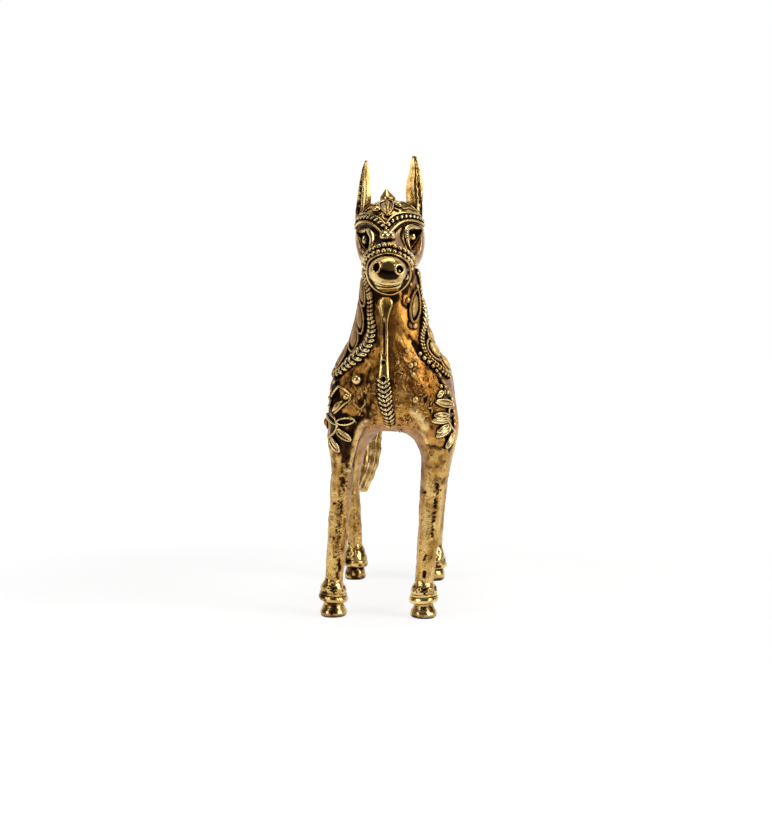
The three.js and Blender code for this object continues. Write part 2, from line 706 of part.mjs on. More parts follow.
// Mane: overlapping leaf panels down each side of the neck, behind the reins.
function maneLeaf(side, index) {
  const share = [0.97, 0.64, 0.4, 0.22][index];
  const y = [-1, 0.6, 3.4, 7][index] + (side > 0 ? 5.2 : 0);
  const spot = sideSpot(side, y, upNeck(share), front);
  const scale = [1, 0.9, 0.76, 0.66][index];
  const lean = place(0, 0.25, 1);
  const leaf = pad(spot, lean, scale * leafLength, scale * leafWidth, leafThickness, front, { pointed: 1.9 });
  return cut(leaf, barrel(clearance), neckForm(clearance));
}

for (const side of [1, -1]) {
  const own = side > 0 ? "left" : "right";
  add(`rein_${own}`, rein(side), reliefBrass);
  for (let i = 0; i < 4; i++) add(`mane_leaf_${own}_${i + 1}`, maneLeaf(side, i), bodyBrass);
}

// Crest: a row of locks down the back of the neck.
function crest() {
  const spots = [];
  for (let i = 0; i <= 6; i++) {
    spots.push(rearSpot(0, THREE.MathUtils.lerp(backHeight + 2, skullHeight - 0.3 * skullDepth, i / 6), [neck]));
  }
  return thread(spots, crestRadius, [neck, torso, head], { steps: 24, swell: beads(12) });
}

add("mane_crest", crest(), reliefBrass);

// Chest studs and shoulder ornaments.
const chestStud = frontSpot(-0.52 * shoulderX, barrelMiddle + 0.13 * barrelDepth, [torso]);
add("chest_stud", ball(chestStud, studRadius, [torso]), brightBrass);

function shoulderLoop() {
  const spots = [];
  const size = 0.12 * chestWidth / 2;
  for (let i = 0; i < 8; i++) {
    const angle = (2 * Math.PI * i) / 8;
    const x = -0.8 * shoulderX + size * Math.sin(angle);
    spots.push(frontSpot(x, barrelMiddle - 0.04 * barrelDepth + 1.3 * size * Math.cos(angle), [torso]));
  }
  return thread(spots, wireRadius, [torso], { steps: 14, loop: true });
}

add("shoulder_loop", shoulderLoop(), reliefBrass);

// Shoulder spray: petals that fan forward from a curved stem.
function spray(side) {
  const stemY = -1;
  const middleZ = barrelMiddle - 0.46 * barrelDepth;
  const carriers = [torso, frontThighs[side]];
  const stemSpots = [-5.6, -2.8, 0, 2.8, 5.6].map((dz) => sideSpot(side, stemY - 0.05 * dz * dz, middleZ + dz, carriers));
  const pieces = [thread(stemSpots, 1.4 * wireRadius, carriers, { steps: 12 })];
  for (const [dz, lift] of [[4.7, 0.5], [1.6, 0.18], [-1.6, -0.18], [-4.7, -0.5]]) {
    const rootY = stemY - 0.05 * dz * dz;
    const reachY = rootY - 0.32 * petalLength;
    const spot = sideSpot(side, reachY, middleZ + dz + 0.4 * lift * petalLength, carriers);
    const fan = place(0, -1, lift);
    pieces.push(pad(spot, fan, petalLength, petalWidth, petalThickness, carriers, { sides: 6, rows: 5 }));
  }
  return trimmedToShoulder(join(pieces), side);
}

// Cut back to the shoulder, whose barrel and thigh meet in a hollow that a laid piece bridges.
function trimmedToShoulder(geometry, side) {
  return cut(geometry, barrel(clearance), thighForm(side, true, clearance));
}

for (const side of [1, -1]) {
  const own = side > 0 ? "left" : "right";
  add(`shoulder_spray_${own}`, spray(side), reliefBrass);
  const bossY = -1 + wireRadius * 1.4 + clearance + bossRadius + 0.6;
  const bossSpot = sideSpot(side, bossY, barrelMiddle - 0.33 * barrelDepth, [torso, frontThighs[side]]);
  add(`shoulder_boss_${own}`, trimmedToShoulder(ball(bossSpot, bossRadius, [torso]), side), brightBrass);
}

// Tail: a flattened lock that leaves the rump high up and hangs to the horse's right.
function tail() {
  const rumpSpot = rearSpot(0, barrelMiddle + 0.16 * barrelDepth, [torso]).point;
  const y = rumpSpot.y;
  const wide = tailWidth / 2;
  const tall = tailThickness / 2;
  const stations = [
    { at: place(0, y - 3, rumpSpot.z), wide: 0.7 * wide, tall: 0.9 * tall },
    { at: place(-1.4, y + 2, rumpSpot.z - 1), wide: 0.8 * wide, tall },
    { at: place(-6, y + 4, barrelMiddle - 0.22 * barrelDepth), wide: 0.95 * wide, tall },
    { at: place(-12.5, y + 2.5, bellyHeight - 6), wide, tall },
    { at: place(-14.5, y, bellyHeight - 18), wide: 0.85 * wide, tall },
    { at: place(-16, y - 1, bellyHeight - 26), wide: 0.4 * wide, tall: 0.6 * tall },
  ];
  return cut(limb(stations, 14, 12), barrel(clearance));
}

add("tail", tail(), reliefBrass);

// Saddle cloth: a thin shell that follows the barrel, with a rope round its edge.
function clothSpot(share, wrap) {
  const angle = THREE.MathUtils.degToRad(wrap * saddleWrap);
  const y = saddleFront + share * saddleLength;
  const away = place(Math.sin(angle), 0, Math.cos(angle));
  return spotFrom(place(0, y, barrelMiddle).addScaledVector(away, 60), away.clone().negate(), [torso]);
}

function saddleCloth() {
  const columns = 12;
  const rows = 5;
  const points = [];
  const faces = [];
  const levels = [clearance, clearance + saddleThickness];
  for (const level of levels) {
    for (let r = 0; r <= rows; r++) {
      for (let c = 0; c <= columns; c++) {
        const spot = clothSpot(r / rows, -1 + (2 * c) / columns);
        points.push(spot.point.addScaledVector(spot.normal, level));
      }
    }
  }
  const sheet = (rows + 1) * (columns + 1);
  const at = (level, r, c) => level * sheet + r * (columns + 1) + c;
  const quad = (a, b, c, d) => faces.push(a, b, c, a, c, d);
  for (let r = 0; r < rows; r++) {
    for (let c = 0; c < columns; c++) {
      quad(at(0, r, c), at(0, r, c + 1), at(0, r + 1, c + 1), at(0, r + 1, c));
      quad(at(1, r, c), at(1, r + 1, c), at(1, r + 1, c + 1), at(1, r, c + 1));
    }
    quad(at(0, r, 0), at(0, r + 1, 0), at(1, r + 1, 0), at(1, r, 0));
    quad(at(0, r, columns), at(1, r, columns), at(1, r + 1, columns), at(0, r + 1, columns));
  }
  for (let c = 0; c < columns; c++) {
    quad(at(0, 0, c), at(1, 0, c), at(1, 0, c + 1), at(0, 0, c + 1));
    quad(at(0, rows, c), at(0, rows, c + 1), at(1, rows, c + 1), at(1, rows, c));
  }
  return closed(points.flatMap((p) => p.toArray()), faces);
}

function saddleRope() {
  const marginY = (ropeRadius + clearance + 0.1) / saddleLength;
  const marginWrap = (ropeRadius + clearance + 0.25) / (0.0175 * saddleWrap * barrelDepth / 2);
  const corners = [];
  for (let i = 0; i <= 10; i++) corners.push([-marginY, -1 + i / 5]);
  for (let i = 1; i <= 3; i++) corners.push([i / 4, 1 + marginWrap]);
  for (let i = 0; i <= 10; i++) corners.push([1 + marginY, 1 - i / 5]);
  for (let i = 1; i <= 3; i++) corners.push([1 - i / 4, -1 - marginWrap]);
  const spots = corners.map(([share, wrap]) => clothSpot(share, wrap));
  return thread(spots, ropeRadius, [torso], { steps: 52, loop: true, swell: beads(26) });
}

add("saddle_cloth", saddleCloth(), bodyBrass);
add("saddle_rope", saddleRope(), reliefBrass);

// The finished horse stands with the middle of its footprint at the origin.
const box = new THREE.Box3().setFromObject(horse);
const middle = box.getCenter(new THREE.Vector3());
horse.position.set(-middle.x, -middle.y, -box.min.z);
horse.updateMatrixWorld(true);

export default horse;
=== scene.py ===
import math

import bpy
import numpy as np
from mathutils import Matrix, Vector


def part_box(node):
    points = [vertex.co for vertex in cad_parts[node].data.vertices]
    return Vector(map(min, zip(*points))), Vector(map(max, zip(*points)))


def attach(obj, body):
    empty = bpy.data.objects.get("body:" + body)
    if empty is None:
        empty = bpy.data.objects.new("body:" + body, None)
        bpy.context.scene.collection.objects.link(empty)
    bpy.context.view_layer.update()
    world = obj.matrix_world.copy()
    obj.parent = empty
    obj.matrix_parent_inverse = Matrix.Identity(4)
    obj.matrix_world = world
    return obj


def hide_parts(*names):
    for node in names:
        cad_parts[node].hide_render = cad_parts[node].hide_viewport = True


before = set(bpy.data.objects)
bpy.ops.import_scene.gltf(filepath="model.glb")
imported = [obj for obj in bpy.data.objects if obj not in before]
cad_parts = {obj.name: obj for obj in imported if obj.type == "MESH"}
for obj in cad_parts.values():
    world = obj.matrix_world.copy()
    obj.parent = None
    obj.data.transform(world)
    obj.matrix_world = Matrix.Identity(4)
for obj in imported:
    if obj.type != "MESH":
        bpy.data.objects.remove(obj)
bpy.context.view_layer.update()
print("frame loaded")

# Bench frame in millimetres: x 0 at the barrel's middle, y 0 over the front hooves, z 0 at the soles.
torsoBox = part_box("torso")
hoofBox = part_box("front_hoof_left")
benchShift = 1000 * np.array([(torsoBox[0].x + torsoBox[1].x) / 2, (hoofBox[0].y + hoofBox[1].y) / 2, 0])

# Camera. focalPixels is the focal length in picture widths of pixels; place is in the bench frame.
photoCamera = {
    "place": (37.8, -498.3, 96.6),
    "turn": 4.5,
    "tilt": 3.63,
    "focalPixels": 1562,
    "pictureSize": (772, 832),
    "sensorWidth": 36,
}


def metres(points):  # bench millimetres to the frame's metres
    return (np.asarray(points, float) + benchShift) * 0.001


def makeCamera():  # lens = focal pixels * sensor width / picture width
    data = bpy.data.cameras.new("photoCamera")
    data.sensor_fit = "HORIZONTAL"
    data.sensor_width = photoCamera["sensorWidth"]
    data.lens = photoCamera["focalPixels"] * photoCamera["sensorWidth"] / photoCamera["pictureSize"][0]
    data.clip_start = 0.01
    data.clip_end = 20
    camera = bpy.data.objects.new("photoCamera", data)
    camera.location = metres(photoCamera["place"])
    camera.rotation_euler = (math.radians(90 - photoCamera["tilt"]), 0, math.radians(photoCamera["turn"]))
    bpy.context.scene.collection.objects.link(camera)
    bpy.context.scene.camera = camera


makeCamera()
print("camera placed")


# Small tools for whole arrays of points.
def unit(v):  # each vector over its length
    return v / np.maximum(np.linalg.norm(v, axis=-1, keepdims=True), 1e-9)


def turns(count):  # even angles of a full turn
    return np.linspace(0, 2 * np.pi, count, endpoint=False)


def through(rows, t):  # cubic Hermite curve through rows (t, values), each slope its neighbours' mean rise
    rows = np.asarray(rows, float)
    knots, values = rows[:, 0], rows[:, 1:]
    slopes = np.gradient(values, knots, axis=0)
    t = np.clip(np.asarray(t, float), knots[0], knots[-1])
    k = np.clip(np.searchsorted(knots, t) - 1, 0, len(knots) - 2)
    width = (knots[k + 1] - knots[k])[..., None]
    s = ((t - knots[k]) / (knots[k + 1] - knots[k]))[..., None]
    a, b = (1 + 2 * s) * (1 - s) ** 2, s * (1 - s) ** 2
    c, d = s * s * (3 - 2 * s), s * s * (s - 1)
    return a * values[k] + b * width * slopes[k] + c * values[k + 1] + d * width * slopes[k + 1]


def blendMin(a, b, k):  # the smaller of two distances, rounded off over k where they are close
    h = np.clip(0.5 + 0.5 * (b - a) / k, 0, 1)
    return b * (1 - h) + a * h - k * h * (1 - h)


def blendMax(a, b, k):  # the larger of two distances, rounded off the same way
    return -blendMin(-a, -b, k)


def hashed(i, j, k, seed):  # a fixed number from 0 to 1 for each lattice point, by primes and folded bits
    n = (i * 73856093) ^ (j * 19349663) ^ (k * 83492791) ^ (seed * 2654435761)
    n = (n ^ (n >> 13)) * 1274126177
    return ((n ^ (n >> 16)) & 0xFFFF) / 65535.0


def grain(p, size, seed=0):  # value noise from -1 to 1: lattice numbers mixed by smooth weights, size in mm
    q = np.asarray(p, float) / size
    base = np.floor(q).astype(np.int64)
    f = q - base
    f = f * f * (3 - 2 * f)
    total = np.zeros(q.shape[:-1])
    for dx in (0, 1):
        for dy in (0, 1):
            for dz in (0, 1):
                weight = np.where(dx, f[..., 0], 1 - f[..., 0]) * np.where(dy, f[..., 1], 1 - f[..., 1])
                weight = weight * np.where(dz, f[..., 2], 1 - f[..., 2])
                total += weight * hashed(base[..., 0] + dx, base[..., 1] + dy, base[..., 2] + dz, seed)
    return 2 * total - 1


def within(value, low, high):  # smooth step from 0 at low to 1 at high
    s = np.clip((value - low) / (high - low), 0, 1)
    return s * s * (3 - 2 * s)


# Castings are distance fields in the bench frame: negative inside the brass, zero on its skin.
# Barrel rows: y, middle height, half width, half depth. Neck rows: height, y of the middle, half width, depth.
barrel = {
    "rows": [
        (-13.5, 71, 15, 9.6), (-9, 72, 17, 11.2), (-4, 72.8, 18.2, 12.6), (6, 73.2, 18.8, 13.2),
        (20, 72.8, 17.6, 14.2), (37, 73.8, 15.5, 12.6), (55, 73.8, 16.4, 13.4), (72, 73.3, 17.2, 14),
        (88, 72.6, 14.6, 12),
    ],
    "chestEnd": -11.2,
    "rumpEnd": 86.9,
    "endRound": 10,
    "thighBlend": {"front": 5, "rear": 4},
    "thighRound": 4,
}
neck = {
    "rows": [
        (70, 6, 15.4, 14.2), (78, 5, 14.6, 14.4), (84, 4.1, 13.5, 14), (91, 2.9, 11.8, 12.6),
        (99, 2, 9.8, 11.2), (108, 2.2, 8.6, 10), (119, 3.2, 7.5, 8.4),
    ],
    "blend": 8,
    "poll": 0.8,
    "endRound": 3,
}
# Leg rows: height, x of the middle, half width, half depth.
thighs = {
    "front_left": {
        "y": -0.4,
        "rows": [
            (38.65, 13.4, 3.95, 4.1), (43, 13.9, 4.3, 4.6), (47.5, 14.4, 4.6, 5.3), (53, 14.7, 5.1, 6.4),
            (57, 14.1, 6.2, 7.4), (61, 12.6, 7.4, 8.3), (67, 10.3, 8.6, 8.9), (73, 8.6, 8, 8.4),
        ],
    },
    "front_right": {
        "y": -0.4,
        "rows": [
            (38.65, -16.2, 3.45, 3.7), (43, -15.75, 3.55, 4.2), (47.5, -15.3, 3.7, 4.9),
            (53, -15.15, 4.4, 6.1), (57, -14.5, 5.7, 7.2), (61, -12.8, 7.2, 8.2), (67, -10.3, 8.6, 8.9),
            (73, -8.6, 8, 8.4),
        ],
    },
    "rear_left": {
        "y": 72,
        "rows": [
            (38.65, 12.5, 3.6, 3.8), (43, 13, 3.9, 4.4), (49, 13.6, 4.7, 5.8), (56, 13.2, 6.4, 8),
            (62, 11.6, 7.6, 9.6), (68, 9.8, 8, 9.6), (74, 8.6, 7.4, 8.8),
        ],
    },
    "rear_right": {
        "y": 72,
        "rows": [
            (38.65, -19.2, 2.65, 3.7), (43, -18.7, 2.85, 4.3), (49, -17.5, 3.5, 5.6), (56, -14.8, 6.1, 8),
            (62, -11.8, 7.6, 9.6), (68, -9.8, 8, 9.6), (74, -8.6, 7.4, 8.8),
        ],
    },
}


def barrelField(p):  # ratio to the ellipse at y, less 1, times its smaller half; rounded to flat ends
    x, y, z = p[..., 0], p[..., 1], p[..., 2]
    section = through(barrel["rows"], y)
    middle, wide, deep = section[..., 0], section[..., 1], section[..., 2]
    side = (np.hypot(x / wide, (z - middle) / deep) - 1) * np.minimum(wide, deep)
    ends = np.maximum(barrel["chestEnd"] - y, y - barrel["rumpEnd"])
    return blendMax(side, ends, barrel["endRound"])


def neckField(p):  # the same ratio in each level slice, cut level at both ends and aslant behind the skull
    section = through(neck["rows"], p[..., 2])
    ratio = np.hypot(p[..., 0] / section[..., 1], (p[..., 1] - section[..., 0]) / section[..., 2])
    side = (ratio - 1) * section[..., 1]
    low, high = neck["rows"][0][0], neck["rows"][-1][0]
    fall = (p[..., 2] - high + neck["poll"] * (p[..., 1] - neck["rows"][-1][1])) / math.hypot(1, neck["poll"])
    return blendMax(side, np.maximum(np.maximum(low - p[..., 2], p[..., 2] - high), fall), neck["endRound"])


def columnField(p, column):  # a leg: again the ratio in each level slice
    section = through(column["rows"], p[..., 2])
    x, wide, deep = section[..., 0], section[..., 1], section[..., 2]
    return (np.hypot((p[..., 0] - x) / wide, (p[..., 1] - column["y"]) / deep) - 1) * wide


def thighField(p, name):  # its column, cut level inside the barrel
    top = thighs[name]["rows"][-1][0]
    return blendMax(columnField(p, thighs[name]), p[..., 2] - top, barrel["thighRound"])


def bodyField(p):  # barrel, neck and thighs run together, cut flat at the joints
    body = blendMin(barrelField(p), neckField(p), neck["blend"])
    for name in thighs:
        body = blendMin(body, thighField(p, name), barrel["thighBlend"][name.split("_")[0]])
    return np.maximum(body, thighs["front_left"]["rows"][0][0] - p[..., 2])


# Head, measured along its own middle line: across to the horse's left, ahead from the back of the skull, up.
headForm = {
    "place": (-0.9, 6.5, 123.1),
    "turn": 4,
    "skull": ((0.3, 11, 0.6), (10.45, 13, 9.7)),
    "cheek": ((5, 13.6, -4.6), (5.4, 9.6, 7.6)),
    "cheekShift": 0.6,
    "snout": ((0, 14, -1.8), (0, 27.4, -10.2), 8.6, 6.5),
    "muzzle": ((-0.25, 32.4, -12.7), (5.75, 6.1, 4.6)),
    "muzzlePower": 2.4,
    "muzzleTilt": 6,
    "chin": ((-0.1, 29.8, -16.3), (4.2, 4.4, 2.6)),
    "socket": ((7.6, 20.6, -3.2), (2.6, 3.4, 4)),
    "blends": {"cheek": 3, "snout": 3.5, "socket": 2.2, "muzzle": 1.2, "chin": 1},
}
headAxes = np.array([
    [math.cos(math.radians(headForm["turn"])), math.sin(math.radians(headForm["turn"])), 0],
    [math.sin(math.radians(headForm["turn"])), -math.cos(math.radians(headForm["turn"])), 0],
    [0, 0, 1],
])


def toHead(p):  # from the bench frame to the head's own axes
    return (np.asarray(p, float) - headForm["place"]) @ headAxes.T


def fromHead(q):  # and back
    return np.asarray(q, float) @ headAxes + headForm["place"]


def ballField(q, form):  # distance to an ellipsoid: k(k-1)/g, with k its ratio and g the ratio's slope
    centre, radii = np.array(form[0]), np.array(form[1])
    ratio = np.linalg.norm((q - centre) / radii, axis=-1)
    slope = np.linalg.norm((q - centre) / radii ** 2, axis=-1)
    return ratio * (ratio - 1) / np.maximum(slope, 1e-6)


def cushionField(q, form, power, tilt):  # round from ahead: k is the power mean of that ratio and the depth's
    shift, (wide, deep, tall) = q - np.array(form[0]), form[1]
    c, s = math.cos(math.radians(tilt)), math.sin(math.radians(tilt))
    shift = shift @ np.array([[1, 0, 0], [0, c, -s], [0, s, c]])
    round_ = np.maximum(np.hypot(shift[..., 0] / wide, shift[..., 2] / tall), 1e-6)
    depth = np.maximum(np.abs(shift[..., 1]) / deep, 1e-6)
    k = (round_ ** power + depth ** power) ** (1 / power)
    roundSlope = np.hypot(shift[..., 0] / wide ** 2, shift[..., 2] / tall ** 2) / round_
    slope = np.hypot((round_ / k) ** (power - 1) * roundSlope, (depth / k) ** (power - 1) / deep)
    return (k - 1) / np.maximum(slope, 1e-6)


def roundConeField(q, start, end, startRadius, endRadius):  # distance to the line, less a radius that tapers
    start, end = np.array(start, float), np.array(end, float)
    along = end - start
    s = np.clip((q - start) @ along / (along @ along), 0, 1)
    radius = startRadius + (endRadius - startRadius) * s
    return np.linalg.norm(q - start - s[..., None] * along, axis=-1) - radius


def headSolid(p):  # skull, cheeks, snout, muzzle and chin run together, less the eye sockets
    q, blends = toHead(p), headForm["blends"]
    mirrored = np.concatenate([np.abs(q[..., :1]), q[..., 1:]], axis=-1)
    cheeks = np.concatenate([np.abs(q[..., :1] - headForm["cheekShift"]), q[..., 1:]], axis=-1)
    head = blendMin(ballField(q, headForm["skull"]), ballField(cheeks, headForm["cheek"]), blends["cheek"])
    head = blendMin(head, roundConeField(q, *headForm["snout"]), blends["snout"])
    head = blendMax(head, -ballField(mirrored, headForm["socket"]), blends["socket"])
    muzzle = cushionField(q, headForm["muzzle"], headForm["muzzlePower"], headForm["muzzleTilt"])
    return blendMin(blendMin(head, muzzle, blends["muzzle"]), ballField(q, headForm["chin"]), blends["chin"])


nostrilHollows = []  # place, axes (across, out, up) and radii of each, filled in below


def headField(p):  # the head with its nostrils bored
    head = headSolid(p)
    for place, axes, radii in nostrilHollows:
        head = blendMax(head, -ballField((p - place) @ axes.T, ((0, 0, 0), radii)), nostrils["edge"])
    return head


def slopeOf(field, p, step=0.05):  # gradient by central differences
    parts = []
    for axis in range(3):
        move = np.zeros(3)
        move[axis] = step
        parts.append((field(p + move) - field(p - move)) / (2 * step))
    return np.stack(parts, axis=-1)


def settle(field, p, level=0.0, rounds=4):  # moves points along the gradient to where the field has this level
    for _ in range(rounds):
        g = slopeOf(field, p)
        p = p - ((field(p) - level) / np.maximum((g * g).sum(-1), 1e-6))[..., None] * g
    return p


def looks(pixels):  # where looks through picture points start, and their ways: ahead + x right - y up
    pixels = np.atleast_2d(np.asarray(pixels, float))
    turn, tilt = math.radians(photoCamera["turn"]), math.radians(photoCamera["tilt"])
    ahead = np.array([-math.sin(turn) * math.cos(tilt), math.cos(turn) * math.cos(tilt), -math.sin(tilt)])
    right = np.array([math.cos(turn), math.sin(turn), 0.0])
    shift = (pixels - np.array(photoCamera["pictureSize"]) / 2) / photoCamera["focalPixels"]
    ray = ahead + shift[:, :1] * right - shift[:, 1:] * np.cross(right, ahead)
    return np.array(photoCamera["place"], float), ray


looking = {"start": 440.0, "backstop": 16, "steps": 90, "pace": 0.7, "stride": (-3, 6)}  # in mm


def seen(field, pixels):  # where these looks first meet the casting: each step is a share of the gap to it
    start, ray = looks(pixels)
    ray = unit(ray)
    reach = np.full(len(ray), looking["start"])
    farthest = (looking["backstop"] - start[1]) / ray[:, 1]  # no look goes past the front of the horse
    nearest, nearestReach = np.full(len(ray), 1e9), reach.copy()
    for _ in range(looking["steps"]):
        gap = field(start + reach[:, None] * ray)
        nearer = gap < nearest
        nearest, nearestReach = np.where(nearer, gap, nearest), np.where(nearer, reach, nearestReach)
        reach = np.minimum(reach + looking["pace"] * np.clip(gap, *looking["stride"]), farthest)
    return settle(field, start + nearestReach[:, None] * ray, rounds=3)


def throughPlane(pixels, point, normal):  # where looks cross a plane: start + ray * gap / (ray . normal)
    start, ray = looks(pixels)
    reach = ((np.asarray(point, float) - start) @ normal) / (ray @ normal)
    return start + reach[:, None] * ray


def perched(field, pixels, level):  # places this high over the casting at picture points, and their way out
    place = settle(field, seen(field, pixels), level)
    return place, unit(slopeOf(field, place))


def spanned(field, pixels, level):  # the ends of a span, its middle over the casting, way out and half length
    ends = seen(field, pixels)
    middle = settle(field, ends.mean(0, keepdims=True), level)
    return ends, middle, unit(slopeOf(field, middle)), np.linalg.norm(ends[1] - ends[0]) / 2


nostrils = {  # picture point, half width and half height in mm
    "right": {"pixel": (376.0, 267.0), "radii": (1.15, 1.5)},
    "left": {"pixel": (400.1, 269.3), "radii": (1.42, 1.25)},
    "depth": 1.7,
    "edge": 0.25,  # how far the edge is rounded
}


def boreNostrils():  # notes each hollow's place, axes and radii; headField takes them out
    for own in ("right", "left"):
        place = seen(headSolid, [nostrils[own]["pixel"]])[0]
        out = unit(slopeOf(headSolid, place))
        across = unit(np.cross([0, 0, 1.0], out))
        wide, tall = nostrils[own]["radii"]
        axes = np.array([across, out, np.cross(out, across)])
        nostrilHollows.append((place, axes, (wide, nostrils["depth"], tall)))


boreNostrils()
trims = {"body": [], "head": []}  # lines of threads on each casting, along which patina gathers


def noted(field, path):  # keeps a line for the patina
    trims["head" if field is headField else "body"].append(np.atleast_2d(path))


def gapTo(points, path):  # distance from each point to the nearest point of a path, in slabs to spare memory
    gaps, slab = np.empty(len(points)), 20000
    for i in range(0, len(points), slab):
        part = points[i:i + slab]
        square = (part ** 2).sum(1)[:, None] + (path ** 2).sum(1)[None] - 2 * part @ path.T
        gaps[i:i + slab] = np.sqrt(np.maximum(square.min(1), 0))
    return gaps


def nearness(points, path, reach):  # 1 on a path, falling smoothly to 0 at reach from it
    close = np.zeros(len(points))
    spots = np.flatnonzero(np.all((points > path.min(0) - reach) & (points < path.max(0) + reach), axis=1))
    if len(spots):
        close[spots] = 1 - within(gapTo(points[spots], path), 0, reach)
    return close


def poled(*parts):  # shades of a closed skin: its grid's columns side by side, then nothing at its two poles
    return np.concatenate([np.concatenate(parts, axis=1).ravel(), [0, 0]])


def lowShade(field, points, low, high):  # patina of a relief: 1 up to low over the casting, 0 from high
    return 1 - within(field(points), low, high)


# Meshes from fields and grids.
def netOver(field, low, high, step):
    # One corner in each grid cell that the skin crosses, at the mean of its crossings, and a face for each
    # grid edge that the skin crosses. The field is worked out in full only in blocks of cells near the skin.
    block, batch = 8, 400
    low = np.array(low, float)
    counts = np.ceil((np.array(high) - low) / (step * block)).astype(int)
    centres = np.stack(np.meshgrid(*[np.arange(n) for n in counts], indexing="ij"), axis=-1)
    coarse = field(low + step * (centres * block + (block - 1) / 2))
    value = coarse
    for axis in range(3):
        value = np.repeat(value, block, axis=axis)
    near = np.argwhere(np.abs(coarse) < 1.25 * block * step)
    inner = np.stack(np.meshgrid(*[np.arange(block)] * 3, indexing="ij"), axis=-1).reshape(-1, 3)
    for i in range(0, len(near), batch):
        spots = (near[i:i + batch, None] * block + inner).reshape(-1, 3)
        value[tuple(spots.T)] = field(low + step * spots)
    inside = value < 0
    corners = [(a, b, c) for a in (0, 1) for b in (0, 1) for c in (0, 1)]
    size = np.array(value.shape) - 1

    def shifted(array, corner):
        a, b, c = corner
        return array[a:a + size[0], b:b + size[1], c:c + size[2]]

    count = sum(shifted(inside, corner).astype(np.int8) for corner in corners)
    cells = np.argwhere((count > 0) & (count < 8))
    total, crossings = np.zeros((len(cells), 3)), np.zeros(len(cells))
    for one in corners:
        for other in corners:
            if sum(other) - sum(one) != 1 or any(o < n for o, n in zip(other, one)):
                continue
            first, second = value[tuple((cells + one).T)], value[tuple((cells + other).T)]
            crossed = (first < 0) != (second < 0)
            share = np.where(crossed, first / np.where(crossed, first - second, 1), 0)
            spot = np.array(one) + share[:, None] * (np.array(other) - np.array(one))
            total += np.where(crossed[:, None], spot, 0)
            crossings += crossed
    points = low + step * (cells + total / crossings[:, None])
    number = np.full(size, -1, np.int64)
    number[tuple(cells.T)] = np.arange(len(cells))
    faces = []
    for axis in range(3):
        u, v = (axis + 1) % 3, (axis + 2) % 3
        ahead = np.moveaxis(inside, axis, 0)
        flips = np.moveaxis(ahead[:-1] != ahead[1:], 0, axis)
        edges = np.argwhere(flips)
        onU, onV = edges[:, u], edges[:, v]
        edges = edges[(onU > 0) & (onV > 0) & (onU < size[u]) & (onV < size[v])]
        stepU, stepV = np.eye(3, dtype=int)[u], np.eye(3, dtype=int)[v]
        ring = [edges - stepU - stepV, edges - stepV, edges, edges - stepU]
        quad = np.stack([number[tuple(c.T)] for c in ring], axis=1)
        starts = inside[tuple(edges.T)]
        faces.append(np.where(starts[:, None], quad, quad[:, ::-1]))
    return points, np.concatenate(faces)


def gridFaces(rows, columns, closeRows=False):  # quads of a grid whose columns go round
    r, c = np.meshgrid(np.arange(rows if closeRows else rows - 1), np.arange(columns), indexing="ij")
    nextR, nextC = (r + 1) % rows, (c + 1) % columns
    quad = [r * columns + c, r * columns + nextC, nextR * columns + nextC, nextR * columns + c]
    return np.stack([q.ravel() for q in quad], axis=1)


def closedSkin(rings):  # rings (n, m, 3) joined in order, each end closed by a fan to its middle
    n, m = rings.shape[:2]
    points = np.concatenate([rings.reshape(-1, 3), rings[:1].mean(1), rings[-1:].mean(1)])
    c = np.arange(m)
    low = np.stack([np.full(m, n * m), (c + 1) % m, c], axis=1)
    high = np.stack([np.full(m, n * m + 1), (n - 1) * m + c, (n - 1) * m + (c + 1) % m], axis=1)
    return points, [gridFaces(n, m), low, high]


def joined(*meshes):  # several (points, list of face arrays) as one
    points, faces, start = [], [], 0
    for p, f in meshes:
        points.append(p)
        faces.extend(part + start for part in f)
        start += len(p)
    return np.concatenate(points), faces


def volumeOf(points, faces):  # the sum of a . (b x c) / 6 over its triangles
    total = 0.0
    for f in faces:
        for k in range(1, f.shape[1] - 1):
            a, b, c = points[f[:, 0]], points[f[:, k]], points[f[:, k + 1]]
            total += np.einsum("ij,ij->i", a, np.cross(b, c)).sum() / 6
    return total


def outward(points, faces):  # turned round where the enclosed volume comes out negative
    if volumeOf(points - points.mean(0), faces) < 0:
        faces = [f[:, ::-1] for f in faces]
    return points, faces


def makePiece(name, mesh, slot, nodes, patinaAndShade=None, rubbed=None, bloom=None, finish=None):
    # One piece from a mesh in bench millimetres, with three values painted on its points for its brass: patina
    # together with painted shade and shadow, rub, and lacquer bloom together with painted shade on inner sides.
    points, faces = outward(*mesh)
    data = bpy.data.meshes.new(name)
    loops = np.concatenate([f.ravel() for f in faces]).astype(np.int32)
    sizes = np.concatenate([np.full(len(f), f.shape[1]) for f in faces])
    data.vertices.add(len(points))
    data.vertices.foreach_set("co", metres(points).astype(np.float32).ravel())
    data.loops.add(len(loops))
    data.loops.foreach_set("vertex_index", loops)
    data.polygons.add(len(sizes))
    data.polygons.foreach_set("loop_start", np.concatenate([[0], np.cumsum(sizes)[:-1]]).astype(np.int32))
    data.update(calc_edges=True)
    data.polygons.foreach_set("use_smooth", np.ones(len(sizes), bool))
    for kind, values in (("patinaAndShade", patinaAndShade), ("rubbed", rubbed), ("bloom", bloom)):
        layer = data.attributes.new(kind, "FLOAT", "POINT")
        shade = np.zeros(len(points)) if values is None else np.broadcast_to(values, (len(points),))
        layer.data.foreach_set("value", np.clip(shade, 0, 1).astype(np.float32))
    data.validate()
    data.materials.append(brasses[finish or slot])
    piece = bpy.data.objects.new(name, data)
    bpy.context.scene.collection.objects.link(piece)
    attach(piece, "root")
    if nodes:
        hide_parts(*nodes)
